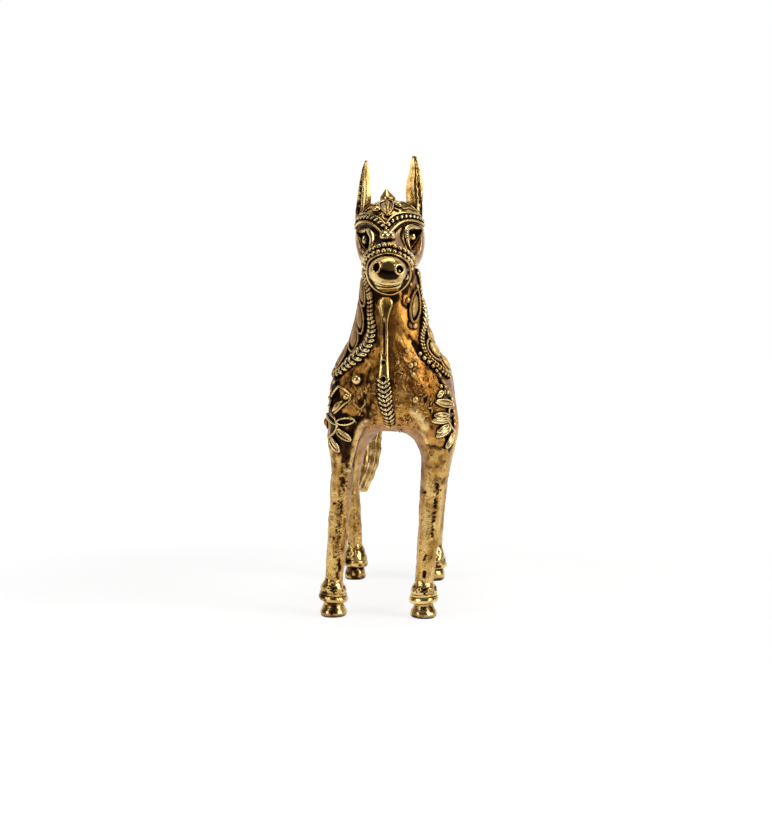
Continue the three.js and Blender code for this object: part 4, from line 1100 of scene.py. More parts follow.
def makeNoseStud():  # two balls and a grain, set on the skin
    centre, out = perched(headField, noseStud["pixels"], 0.65)
    noted(headField, centre)
    heading = np.repeat(centre[1:] - centre[:1], 2, axis=0)
    radius = noseStud["radius"]
    balls = setAlong(pebbleShape(10, 16), centre, heading, out, [[radius] * 3, [0.92 * radius] * 3])
    grainPlace, _ = perched(headField, [noseStud["grain"]], 0.5)
    stud = joined(balls, setAlong(pebbleShape(8, 12), grainPlace, heading[:1], out[:1], [[0.6, 0.5, 0.6]]))
    dress("nose_stud", stud, "polished_brass", headField, (-0.1, 0.4), (0.6, 0.9, 1.6))


makeNoseStud()

# Eyes: an almond rim, broad towards the nose, round a ball. Rim points with their half widths.
eyes = {
    "right": {
        "rim": [
            (358.8, 230.6, 0.34), (361.4, 230.8, 0.5), (364.2, 230, 0.75), (367.2, 229.8, 0.9),
            (370.4, 231.8, 0.95), (372.4, 236.2, 0.95), (373, 240.6, 0.95), (372.2, 244.8, 0.75),
            (370.7, 249, 0.48), (369, 252.6, 0.36), (365.3, 249.4, 0.36), (362.5, 244.6, 0.38),
            (360.2, 238, 0.36),
        ], "ball": (364.9, 239.4), "size": (1.05, 1.7),
    },
    "left": {
        "rim": [
            (406.2, 229.4, 0.85), (405.6, 233.4, 0.85), (406.4, 238.4, 0.75), (407.2, 243.3, 0.55),
            (408.6, 248.4, 0.4), (412.3, 245.8, 0.36), (415.8, 241.6, 0.36), (418.6, 235.5, 0.36),
            (420.5, 230.2, 0.36), (416.5, 227.4, 0.5), (412.3, 226.4, 0.7), (408.6, 227, 0.8),
        ], "ball": (411.6, 236), "size": (1.45, 1.4),
    },
    "rimHeight": 0.62,
}


def makeEye(own):  # a rim whose width follows its nearest picture points, smoothed, and a ball
    form, sides = eyes[own], 14
    rim = np.array(form["rim"])
    spots = seen(headField, rim[:, :2])
    path, out = laid(spots, headField, 0.3, 0.3, loop=True)
    width = rim[np.argmin(np.linalg.norm(path[:, None] - spots[None], axis=2), axis=1), 2]
    for _ in range(8):
        width = (np.roll(width, 1) + width + np.roll(width, -1)) / 3
    ring = sweep(path, out, width, eyes["rimHeight"] * (0.45 + 0.6 * width), loop=True, sides=sides)
    thin = np.repeat(0.6 * (1 - within(width, 0.36, 0.6)), sides)
    makePiece(f"eyeRim{own.capitalize()}", ring, "polished_brass", [f"eye_rim_{own}"],
              np.maximum(lowShade(headField, ring[0], -0.1, 0.25), thin),
              0.5 * within(headField(ring[0]), 0.4, 0.8))
    centre, out = perched(headField, [form["ball"]], 0.35)
    wide, tall = form["size"]
    ball = setAlong(pebbleShape(12, 18), centre, np.array([[0, 0, 1.0]]), out, [[tall, wide, wide]])
    dress(f"eye_ball_{own}", ball, "polished_brass", headField, (-0.3, 0.3), (0.8, 0.3, 0.9))


makeEye("right")
makeEye("left")

# Noseband: two rows of beads over the snout and down the cheeks, and a wire loop round the muzzle.
noseband = {
    "outer": {
        "pixels": [
            (364.6, 263), (366.8, 257), (370.4, 251.9), (375, 249.4), (380, 247.6), (384.4, 246.5),
            (389.6, 246.2), (393.4, 247.4), (397, 248.7), (400.6, 250.3), (404.8, 252.2), (408.3, 254.8),
            (411.6, 258.4), (413.8, 264),
        ], "ends": [(-7.6, 23.6, -15), (7.9, 23.6, -15.8)],
    },
    "inner": {
        "pixels": [
            (368.2, 260), (372.3, 255.8), (378, 253.5), (382.8, 252.5), (389.1, 251.8), (393.4, 252.7),
            (397.6, 254.2), (401.8, 256.2), (406.7, 259.6), (409.8, 264.8),
        ], "ends": [(-7, 26, -15), (7, 26.2, -15.6)],
    },
    "beadRadius": 0.82,
    "beadSpacing": 1.48,
    "wire": [
        (367.2, 272.7), (367.6, 266.4), (370.2, 261.5), (374.6, 257.9), (380.2, 255.9), (387, 255.1),
        (394, 255.8), (399.7, 257.6), (404.6, 260.3), (407.8, 263.8), (409.8, 269), (410.4, 274.4),
        (408.8, 280.6), (404.6, 286.4), (398.4, 291.6), (392, 294), (384.4, 293.4), (376.8, 290),
        (371.4, 284.6), (368.2, 279),
    ],
    "wireRadius": 0.4,
    "wireAhead": 30,
    "wireLean": 0.3,
}


def makeNoseband():  # beads at even spacing along each row
    for row in ("outer", "inner"):
        form = noseband[row]
        ends = fromHead(form["ends"])
        line = np.concatenate([ends[:1], seen(headField, form["pixels"]), ends[1:]])
        balls = beads(*laid(line, headField, 0.3, 0.0), noseband["beadRadius"], noseband["beadSpacing"], 0.2)
        dress(f"noseband_beads_{row}", balls, "relief_brass", headField, (0.1, 0.6), (0.6, 0.7, 1.1))


makeNoseband()


def makeNoseWire():  # a loop in a leaning plane, laid on the skin where the plane runs through the snout
    centre = fromHead([[0, noseband["wireAhead"], -11.5]])[0]
    normal = unit(headAxes[1] - noseband["wireLean"] * headAxes[2])
    spots = throughPlane(noseband["wire"], centre, normal)
    onSkin, _ = perched(headField, noseband["wire"], 0.3)
    spots = np.where((headField(spots) < 0.3)[:, None], onSkin, spots)
    path = curve(spots, 150, loop=True)
    noted(headField, path)
    wire = sweep(path, unit(path - path.mean(0)), noseband["wireRadius"], noseband["wireRadius"], loop=True)
    makePiece("noseWire", wire, "polished_brass", ["nose_wire"])


makeNoseWire()


# Nostril rims and the small ball in the left one.
def makeNostrilRims():
    parts = []
    s = turns(40)
    for place, axes, (wide, _, tall) in nostrilHollows:
        ring = place + ((wide + 0.28) * np.cos(s))[:, None] * axes[0]
        ring = ring + ((tall + 0.28) * np.sin(s))[:, None] * axes[2]
        ring = settle(headSolid, ring, 0.02)
        parts.append(sweep(ring, unit(slopeOf(headSolid, ring)), 0.30, 0.26, loop=True))
    place, axes, _ = nostrilHollows[1]
    ball = place - 0.55 * axes[1] - 0.5 * axes[2]
    parts.append(setAlong(pebbleShape(8, 12), ball[None], axes[:1], axes[1:2], [[0.55, 0.5, 0.55]]))
    makePiece("nostrilRims", joined(*parts), "polished_brass", [])


makeNostrilRims()
print("bridle laid")

# Breast line: a flattened strap with a bulb at its top and a channel down it, then a plait of slanted grains.
breast = {
    "strap": [
        (385.4, 297.6), (385.4, 301), (385, 312), (384.5, 320), (384.4, 340), (384.2, 357), (383.8, 368),
        (383.6, 379),
    ],
    "strapHalfWidths": [
        (0, 1.5), (1, 2.35), (2.4, 2.5), (4.2, 1.9), (6.4, 1.42), (12, 1.36), (18, 1.4), (21, 1.6), (26, 2),
    ],
    "strapHeight": 1.15,
    "channel": (7.2, 18.6),
    "holes": [20.6, 25.6],
    "braid": [(383.6, 380), (384.2, 388), (385.2, 398), (386.8, 408), (388.4, 415), (390.4, 424)],
    "braidHalfWidths": [(0, 1.95), (6, 2.05), (11, 1.8), (15, 1.5)],
    "grainSpacing": 1.34,
}


def makeBreastStrap():  # across = half width * sin, height = cos ^ 0.7 * tall, less channel and holes
    path, out = laid(seen(bodyField, breast["strap"]), bodyField, 0.25, 0.0)
    length = lengthAlong(path)
    wide = through(breast["strapHalfWidths"], length)[:, 0]
    side = unit(np.cross(tangents(path), out))
    phi = np.linspace(-np.pi / 2, np.pi / 2, 25)
    low, high = breast["channel"]
    groove = within(length, low - 1.5, low + 1.5) * (1 - within(length, high - 2, high + 1))
    x = np.sin(phi)[None] * wide[:, None]
    tall = breast["strapHeight"] * (0.75 + 0.45 * wide / wide.max())
    z = np.cos(phi)[None] ** 0.7 * tall[:, None]
    cut = 0.7 * groove[:, None] * np.exp(-(x / 0.55) ** 2)
    for hole in breast["holes"]:
        cut = cut + 0.95 * np.exp(-(((length[:, None] - hole) / 0.62) ** 2 + (x / 0.6) ** 2) ** 2)
    z = np.maximum(z - cut, 0.02)
    top = path[:, None] + side[:, None] * x[..., None] + out[:, None] * (z - 0.05)[..., None]
    bottom = path[:, None] + side[:, None] * x[:, ::-1][:, 1:-1, None] - out[:, None] * 0.6
    foot = 0.9 * np.exp(-(z / 0.28) ** 2)
    dark = poled(np.clip(cut * 1.15 + foot, 0, 1), np.ones((len(path), bottom.shape[1])))
    strap = closedSkin(np.concatenate([top, bottom], axis=1))
    makePiece("breastStrap", strap, "polished_brass", ["breast_strap"], dark)


def makeBreastBraid():  # a plait along the picture points
    path, out = laid(seen(bodyField, breast["braid"]), bodyField, 0.2, 0.0)
    half = through(breast["braidHalfWidths"], lengthAlong(path))[:, 0]
    braid = plait(path, out, half, breast["grainSpacing"], 0.46, 0.85, 0.72)
    dress("breast_braid", braid, "relief_brass", bodyField, (0.35, 0.9), (0.8, 0.85, 1.25))


makeBreastStrap()
makeBreastBraid()

# Reins: picture points of the middle line with half widths by length, then places back over the shoulder. The
# jaw rows hang from the noseband to the tops of the reins.
reins = {
    "right": {
        "pixels": [
            (371.2, 293), (371.2, 300), (371.4, 308), (371.4, 317), (372.4, 326), (371.4, 337),
            (368.6, 344.6), (363.3, 351.6), (357, 358.8), (348.8, 365.2), (343.4, 370.4), (337.6, 374),
        ],
        "halfWidths": [
            (0, 1), (8, 1.05), (12, 1.3), (16, 1.65), (21, 2), (25, 1.9), (29, 1.45), (33, 1.1), (70, 1.3),
        ], "jaw": [(365.2, 270), (366.4, 277), (368, 284), (370.2, 291), (371, 297)],
        "back": [(-17.6, 4, 80.6), (-16.2, 10, 82), (-14.6, 17, 83), (-13.2, 22.5, 84)],
    },
    "left": {
        "pixels": [
            (421.4, 299), (422.2, 308), (422.8, 317.5), (422.4, 327), (420.8, 335), (421.2, 343.5),
            (423.8, 352), (428.6, 359.4), (434.8, 365.4), (440.6, 370.8), (446.4, 375),
        ],
        "halfWidths": [
            (0, 1.7), (3, 2.1), (7, 2.1), (9.5, 1.4), (12, 1), (18, 0.9), (24, 1), (31, 1.3), (40, 1.5),
            (70, 1.4),
        ], "jaw": [(415.6, 271), (418, 279), (419.8, 288), (421.2, 296), (421.4, 300)],
        "back": [(17.7, 4, 80.4), (16.2, 10, 82), (14.6, 17, 83), (13.2, 22.5, 84)],
    },
    "spacing": 1.38,
    "jawHalf": 0.95,
    "beads": {
        "left": [
            [
                (419, 354.6), (423.6, 359.4), (428.2, 363.8), (432.4, 368), (436, 373), (439.6, 379.4),
                (442.6, 386), (445.4, 392.6),
            ], [(447.4, 393), (449.4, 400), (450.8, 408), (451.6, 416), (452, 424)],
        ], "right": [[(336.4, 383), (333.6, 390), (332, 398), (331.4, 406)]],
    },
}


def castingField(p):  # head and body together
    return np.minimum(headField(p), bodyField(p))


def makeRein(own):  # a plait on a flat core, the jaw's plait and rows of beads
    form = reins[own]
    line = np.concatenate([seen(bodyField, form["pixels"]), np.array(form["back"])])
    path, out = laid(line, bodyField, 0.22, 0.15)
    half = through(form["halfWidths"], lengthAlong(path))[:, 0]
    parts = [plait(path, out, half, reins["spacing"], 0.5, 0.9, 0.8), sweep(path, out, 0.8 * half, 0.3)]
    jaw, away = laid(seen(castingField, form["jaw"]), castingField, 0.22, 0.2)
    parts.append(plait(jaw, away, np.full(len(jaw), reins["jawHalf"]), reins["spacing"], 0.5, 0.9, 0.9))
    for row in reins["beads"][own]:
        parts.append(beads(*laid(seen(bodyField, row), bodyField, 0.3, 0.1), 0.74, 1.75, 0.15))
    dress(f"rein_{own}", joined(*parts), "relief_brass", castingField, (0.4, 1), (0.9, 0.9, 1.3))


makeRein("right")
makeRein("left")
print("breast line and reins laid")

# Mane panels: pointed leaves, each a crowned face in a wire border. Top and bottom picture points of the
# middle line and the half width in mm.
maneLeaves = {
    "right": [
        ((364.2, 279), (366.4, 306.5), 2.3), ((361.4, 300.4), (364.2, 334), 2.9),
        ((357.4, 319.6), (354.6, 353), 3), ((350.4, 344), (338.6, 369.4), 2.5),
    ],
    "left": [
        ((415.4, 290), (411.4, 322.4), 2.3), ((425.6, 324), (431.6, 346), 2.9),
        ((426.4, 340), (438.4, 362), 3.4), ((435.4, 353), (447.8, 374.6), 3.4),
    ],
    "borderRadius": 0.36,
    "faceHeights": {"right": (1.25, 1.25, 1.25, 1.25), "left": (0.9, 1.6, 1.9, 1.8)},
    "stain": {"right": (0, 0, 0, 0), "left": (0.3, 0, 0, 0)},
    "shine": {"right": 0.25, "left": 0.75},
    "tint": {"right": 0.7, "left": 0.3},
}


def leafRim(centre, ahead, side, halfLength, halfWidth, count, lift):
    # Half length * cos ahead and half width * sin * |sin| ^ 0.3 across, laid on the skin; with its two waves.
    s = turns(count)
    wave = np.sin(s) * np.abs(np.sin(s)) ** 0.3
    rim = centre + ahead * (halfLength * np.cos(s))[:, None] + side * (halfWidth * wave)[:, None]
    rim = settle(bodyField, rim, lift)
    noted(bodyField, rim)
    return rim, unit(slopeOf(bodyField, rim, 0.3)), np.cos(s), wave


def makeManeLeaf(own, index):  # a border, and rings of a face crowned by height * sqrt(1 - reach ^ 3)
    top, bottom, halfWidth = maneLeaves[own][index]
    ends, centre, _, halfLength = spanned(bodyField, [top, bottom], 0.0)
    out = unit(slopeOf(bodyField, centre, 0.3))
    up = unit(ends[:1] - ends[1:])
    up = unit(up - (up * out).sum() * out)
    side = np.cross(up, out)
    rim, away, turn, wave = leafRim(centre, up, side, halfLength, halfWidth, 52, 0.5)
    border = sweep(rim, away, maneLeaves["borderRadius"], 0.72, loop=True)
    borderDark = lowShade(bodyField, border[0], 0.3, 0.85)
    reach = np.linspace(0, 1, 10)[1:]
    inner = 0.76 * reach[:, None]
    face = (centre[:, None] + up * (inner * (halfLength + 0.4) * turn)[..., None]
            + side * (inner * halfWidth * wave)[..., None])
    height, stain = maneLeaves["faceHeights"][own][index], maneLeaves["stain"][own][index]
    level = height * np.sqrt(np.clip(1.04 - reach ** 3, 0, 1))
    face = settle(bodyField, face, level[:, None], rounds=3)
    crown, floor = settle(bodyField, centre, height), settle(bodyField, face[-1], -0.4)
    points = np.concatenate([crown, face.reshape(-1, 3), floor, settle(bodyField, centre, -0.4)])
    n, m = len(reach) + 1, len(turn)
    shade = np.repeat(np.maximum(stain, within(reach, 0.80, 1.0)), m)
    dark = np.concatenate([[stain], shade, np.ones(m + 1)])
    c = np.arange(m)
    faces = [gridFaces(n, m) + 1,
             np.stack([np.zeros(m, int), (c + 1) % m + 1, c + 1], axis=1),
             np.stack([np.full(m, n * m + 1), (n - 1) * m + c + 1, (n - 1) * m + (c + 1) % m + 1], axis=1)]
    shine, tint = maneLeaves["shine"][own], maneLeaves["tint"][own]
    makePiece(f"maneLeaf{own.capitalize()}{index + 1}", joined(border, (points, faces)), "aged_brass",
              [f"mane_leaf_{own}_{index + 1}"], np.concatenate([np.maximum(borderDark, stain), dark]),
              np.concatenate([0.6 * (1 - borderDark), shine * (1 - dark)]),
              tint * np.concatenate([np.zeros(len(borderDark)), 1 - dark]))


for own in ("right", "left"):
    for index in range(4):
        makeManeLeaf(own, index)

# Chest stud and the shoulder's loop.
chest = {
    "stud": (357.9, 380.4),
    "studRadius": 1.6,
    "loop": [
        [
            (340.5, 386.9), (346.1, 390.6), (350.8, 395.3), (349.9, 400.4), (345.2, 403.8), (340.5, 408.4),
            (335.8, 413.1),
        ], [(339.6, 386.9), (335, 392.4), (332.2, 398.4), (331.4, 406)],
        [(342.6, 401.8), (337.8, 404), (334.4, 410.6)],
    ],
    "loopRadius": 0.42,
    "ball": (347.4, 396.8),
    "ballRadius": 1.1,
    "bud": [(342.6, 402.8), (334.2, 411.6)],
    "budHalfWidth": 0.9,
}


def makeChest():  # a ball for the stud; wires, a ball and a bud for the loop
    upward = np.array([[0, 0, 1.0]])
    centre, out = perched(bodyField, [chest["stud"]], 0.7)
    noted(bodyField, centre)
    stud = setAlong(pebbleShape(12, 20), centre, upward, out, chest["studRadius"] * np.ones(3))
    dress("chest_stud", stud, "polished_brass", bodyField, (0.1, 0.8))
    radius = chest["loopRadius"]
    parts = wired(bodyField, chest["loop"], 0.35, 0.3, radius, 1.3 * radius)
    centre, out = perched(bodyField, [chest["ball"]], 0.5)
    parts.append(setAlong(pebbleShape(10, 16), centre, upward, out, chest["ballRadius"] * np.ones(3)))
    ends, middle, out, length = spanned(bodyField, chest["bud"], 0.3)
    sizes = [(length, chest["budHalfWidth"], 0.8)]
    parts.append(setAlong(seed, middle, (ends[1] - ends[0])[None], out, sizes))
    dress("shoulder_loop", joined(*parts), "relief_brass", bodyField, (0, 0.45))


makeChest()

# Shoulder sprays: petals as (root, tip, half width, how far filled) and stems, all by picture points.
sprays = {
    "right": {
        "petals": [
            ((337.6, 421.8), (355.2, 419.4), 1.05, 0), ((337, 428.4), (351.2, 439.6), 1.05, 0.35),
            ((330.8, 435.8), (340.2, 451), 1, 0.6),
        ],
        "stems": [
            [(332.6, 414), (336.8, 419.7), (338.2, 424.6), (336, 431.6), (331.6, 436.8)],
            [(338.2, 424.4), (331.4, 421), (328.2, 414)],
        ], "boss": (-20.2, 1.6, 62.8),
    },
    "left": {
        "petals": [
            ((450.6, 404.8), (434.6, 401.8), 1.1, 0.7), ((447.2, 415.6), (433.8, 415.2), 0.85, 1),
            ((447.6, 419.6), (431, 420.6), 0.8, 1), ((446.6, 424.6), (436.6, 431.8), 0.75, 1),
            ((449, 427.2), (435.8, 436.4), 0.85, 1), ((451.6, 432.8), (445.2, 447.4), 0.9, 1),
            ((441, 391.4), (437.2, 397), 0.6, 1),
        ],
        "stems": [
            [(449.8, 404.6), (447.4, 409.6), (447, 415.6)], [(446.2, 419.6), (449.3, 426.3), (453, 432)],
        ], "boss": (20.5, 1.6, 63),
    },
    "wireRadius": 0.36,
    "stemRadius": 0.46,
    "bossRadius": 1.6,
    "ringRadius": 2.1,
}


def petalMesh(root, tip, halfWidth, filled):  # a wire rim, and a seed in it where it is filled
    heading, halfLength = unit(tip - root), 0.5 * np.linalg.norm(tip - root)
    middle = settle(bodyField, ((root + tip) / 2)[None], 0.0)
    out = unit(slopeOf(bodyField, middle, 0.3))
    rim, away, _, _ = leafRim(middle, heading, np.cross(heading[None], out), halfLength, halfWidth, 40, 0.4)
    petal = sweep(rim, away, sprays["wireRadius"], 0.55, loop=True)
    if not filled:
        return petal
    return joined(petal, setAlong(seed, middle + 0.2 * out, heading[None], out,
                                  [[halfLength, 0.95 * halfWidth, 0.9 * filled]]))


def makeSpray(own):  # petals and stems, and a ball in a ring at the shoulder's side
    form, stem, radius = sprays[own], sprays["stemRadius"], sprays["bossRadius"]
    parts = [petalMesh(*seen(bodyField, ends), wide, filled) for *ends, wide, filled in form["petals"]]
    parts += wired(bodyField, form["stems"], 0.35, 0.3, stem, 1.3 * stem)
    dress(f"shoulder_spray_{own}", joined(*parts), "relief_brass", bodyField, (0.05, 0.5), (0.7, 0.6, 0.95))
    centre = settle(bodyField, np.array([form["boss"]], float), 0.5)
    noted(bodyField, centre)
    out, up = unit(slopeOf(bodyField, centre)), np.array([[0, 0, 1.0]])
    s = turns(36)[:, None]
    ring = centre - 0.5 * out + sprays["ringRadius"] * (np.cos(s) * unit(np.cross(up, out)) + np.sin(s) * up)
    ring = settle(bodyField, ring, 0.3)
    boss = joined(setAlong(pebbleShape(12, 18), centre, up, out, [[radius, radius, 0.9 * radius]]),
                  sweep(ring, unit(slopeOf(bodyField, ring)), 0.4, 0.5, loop=True))
    dress(f"shoulder_boss_{own}", boss, "polished_brass", bodyField, (0.1, 0.8), finish="aged_brass")


makeSpray("right")
makeSpray("left")

# Cast curls and pebbles over the chest: named ridges by picture points, and a loose scatter between them.
relief = {
    "ridges": [[(394.5, 372.8), (398, 371.6), (402, 373.6)], [(354.6, 403.8), (360.2, 408.6), (366, 402.6)]],
    "pebbles": [
        (406.8, 350.8, 0.75), (410.6, 365.6, 0.9), (414.9, 364.6, 0.7), (413, 374.6, 0.8),
        (397.7, 362.6, 0.6), (415.4, 399.6, 1), (438.4, 375.6, 0.9), (442.8, 383.4, 0.8), (443.6, 392, 0.9),
        (440.4, 386.6, 0.7), (414.4, 325.4, 0.95), (407.6, 300.4, 0.9), (416.4, 287, 0.8),
        (410.4, 284.6, 0.6), (414, 291, 0.55),
    ],
    "looseCount": 230,
    "ridgeRadius": 0.24,
}


def makeRelief():  # ridges, pebbles and loose curls
    radius = relief["ridgeRadius"]
    parts = wired(bodyField, relief["ridges"], 0.35, -0.02, 1.35 * radius, 1.5 * radius)
    spots = np.array(relief["pebbles"])
    centre, out = perched(bodyField, spots[:, :2], 0.2)
    parts.append(setAlong(pebbleShape(8, 12), centre, np.repeat([[0.3, 0, 1.0]], len(spots), 0), out,
                          spots[:, 2:] * np.array([1.15, 1, 0.8])))
    # Loose curls: where each lies in the picture, which way it runs, how it bows and how long it is, by luck.
    i = np.arange(relief["looseCount"])
    luck = [hashed(i, 3 * i + k, 7 * k, 11) for k in range(6)]
    rightPart = luck[0] < 0.68
    y = np.where(rightPart, 350 + 80 * luck[2] ** 0.8, 380 + 50 * luck[2])
    rightEdge = np.interp(y, [350, 370, 400, 430], [416, 434, 440, 432])
    x = np.where(rightPart, 394 + (rightEdge - 394) * luck[1], 346 + 32 * luck[1])
    angle, bow, size = 2 * np.pi * luck[3], 1.9 * (luck[4] - 0.5), 1.2 + 3.0 * luck[5]
    heading = angle[:, None] + bow[:, None] * np.linspace(-0.5, 0.5, 4)[None] * 2
    step = np.stack([np.cos(heading), np.sin(heading)], axis=-1) * (size / 4)[:, None, None]
    lines = np.stack([x, y], axis=-1)[:, None] + np.cumsum(step, axis=1)
    lines = seen(bodyField, lines.reshape(-1, 2)).reshape(len(i), -1, 3)
    for line, own in zip(lines, luck[5]):
        path = settle(bodyField, curve(line, 8), 0.0)
        parts.append(sweep(path, unit(slopeOf(bodyField, path)), 0.20 + 0.18 * own, 0.22 + 0.12 * own, sides=8))
    curls = joined(*parts)
    height = bodyField(curls[0])
    makePiece("chestRelief", curls, "aged_brass", [], 0.85 * (1 - within(height, -0.05, 0.16)),
              0.7 * within(height, 0.18, 0.34))


makeRelief()
print("chest and shoulders dressed")

# Ears: a folded leaf. Each row is height share, left and right edge and height in picture points. cleft is
# where the pricked fold runs, at foot, middle and tip, from -1 to 1 across; swell is the depth of the bowl.
ears = {
    "right": {
        "rows": [
            (0, 355.6, 369.4, 211), (0.2, 357, 371, 201.3), (0.38, 358.2, 371.4, 192.4),
            (0.58, 359.6, 370.2, 182), (0.74, 361, 369.2, 174), (0.88, 362.8, 368.6, 166.4),
            (0.96, 364.2, 367.8, 162), (1, 365.4, 366.8, 160.2),
        ], "y": -2.6, "cleft": (-0.5, -0.66, -0.85), "ridge": 0.28, "swell": 1.15, "power": 1,
    },
    "left": {
        "rows": [
            (0, 406, 422.6, 211), (0.2, 406.4, 422.6, 200.6), (0.38, 405.8, 422.9, 190),
            (0.56, 407.2, 422.6, 180), (0.72, 409.4, 421, 171), (0.86, 410.4, 419, 163.4),
            (0.95, 411.4, 417, 158), (1, 412.8, 415.2, 155.6),
        ], "y": -2.6, "cleft": (0.8, 0.4, 0.42), "ridge": 0.25, "swell": 0.8, "power": 1.5,
    },
    "fullHalfWidth": 2.4,
    "rooted": 3,
}


def makeEar(own):  # a front bowl 1 - |aside| ^ power deep with a pricked fold, and a round back wall
    form, full = ears[own], ears["fullHalfWidth"]
    rows = np.array(form["rows"])
    t = np.linspace(0, 1, 110)
    plane = (0, form["y"], 0), np.array([0, 1.0, 0])
    leftEdge, rightEdge = (throughPlane(rows[:, [k, 3]], *plane) for k in (1, 2))
    edges = through(np.column_stack([rows[:, 0], leftEdge[:, 0], rightEdge[:, 0], leftEdge[:, 2]]), t)
    s = np.sin(np.linspace(-np.pi / 2, np.pi / 2, 41))
    half, middle = ((edges[:, 1] + sign * edges[:, 0])[:, None] / 2 for sign in (-1, 1))
    cleftAt = np.interp(t, [0, 0.5, 1], form["cleft"])[:, None]
    beaded = (0.62 + 0.38 * np.sin(47 * t))[:, None]  # the cleft is a row of pricks
    fold = beaded * np.exp(-((s - cleftAt) / 0.10) ** 2) * (1 - within(t, 0.86, 0.97))[:, None]
    crest = np.exp(-((s - cleftAt - 0.3) / 0.12) ** 2) + 0.6 * np.exp(-((s - cleftAt + 0.45) / 0.16) ** 2)
    aside = form["ridge"] - s
    aside = np.where(aside > 0, aside / (1 + form["ridge"]), -aside / (1 - form["ridge"]))
    bowl = -form["swell"] * half / full * (1 - (aside ** 2 + 0.003) ** (form["power"] / 2))
    lean = 0.9 * t[:, None] ** 2
    front = form["y"] + lean - 0.4 + bowl + (0.42 * fold - 0.16 * crest) * half / full
    wall = (0.35 + 0.55 * half / full) * np.sqrt(np.clip(1 - s ** 2, 0, 1)) + 0.06
    back = front + wall + 0.5 * half / full * (1 - s ** 2)
    x = middle + half * s
    z = np.repeat(edges[:, 2:3], len(s), axis=1)
    z[0] -= ears["rooted"]
    turned = np.stack([x, back, z], axis=-1)[:, ::-1][:, 1:-1]
    points, faces = closedSkin(np.concatenate([np.stack([x, front, z], axis=-1), turned], axis=1))
    foot = 0.55 * (1 - np.abs(s)) * (1 - within(t, 0, 0.3))[:, None]
    plain = np.zeros((len(t), len(s) - 2))
    dark, shine = poled(1.1 * fold ** 1.5 + foot, plain), poled(0.6 * crest, plain)
    rough = 0.08 * grain(points * np.array([1, 1, 0.5]), 1.1, 51) + 0.02 * grain(points, 0.6, 52)
    points = points + rough[:, None] * np.array([0.4, -1, 0])
    makePiece(f"ear{own.capitalize()}", (points, faces), "polished_brass", [f"ear_{own}"],
              np.maximum(dark, 0.26 + 0.3 * within(-rough, 0.03, 0.09)), shine)


makeEar("right")
makeEar("left")

# Topknot: a four-sided peak with rounded edges.
topknot = {"apex": (386.2, 189), "base": [(380.4, 197.6), (396, 198.2)], "y": -5.4, "halfDepth": 2.1, "foot": 3}


def makeTopknot():  # rings of radius 1 / (|cos| ^ 1.6 + |sin| ^ 1.6) ^ (1 / 1.6), which shrink to the apex
    plane = (0, topknot["y"], 0), np.array([0, 1.0, 0])
    apex, base = throughPlane([topknot["apex"]], *plane)[0], throughPlane(topknot["base"], *plane)
    middle = base.mean(0)
    t = np.linspace(0, 1, 20)[:, None]
    angle = turns(40)
    square = 1 / (np.abs(np.cos(angle)) ** 1.6 + np.abs(np.sin(angle)) ** 1.6) ** (1 / 1.6)
    shrink = np.where(t < 0.25, 0.86 + 0.14 * t / 0.25, 1 - 0.9 * (np.maximum(t - 0.25, 0) / 0.75) ** 1.15)
    halfWidth = abs(base[1, 0] - base[0, 0]) / 2
    x = middle[0] + (apex[0] - middle[0]) * t + halfWidth * shrink * square * np.cos(angle)
    y = topknot["y"] + topknot["halfDepth"] * shrink * square * np.sin(angle) * 1.1
    low = middle[2] - topknot["foot"]
    top = middle[2] + (apex[2] - middle[2]) * (t - 0.25) / 0.75
    z = np.where(t < 0.25, low + (middle[2] - low) * t / 0.25, top)
    rings = np.stack([x, y, np.repeat(z, len(angle), axis=1)], axis=-1)
    makePiece("topknot", closedSkin(rings), "polished_brass", ["topknot"])


makeTopknot()
print("ears and topknot set")
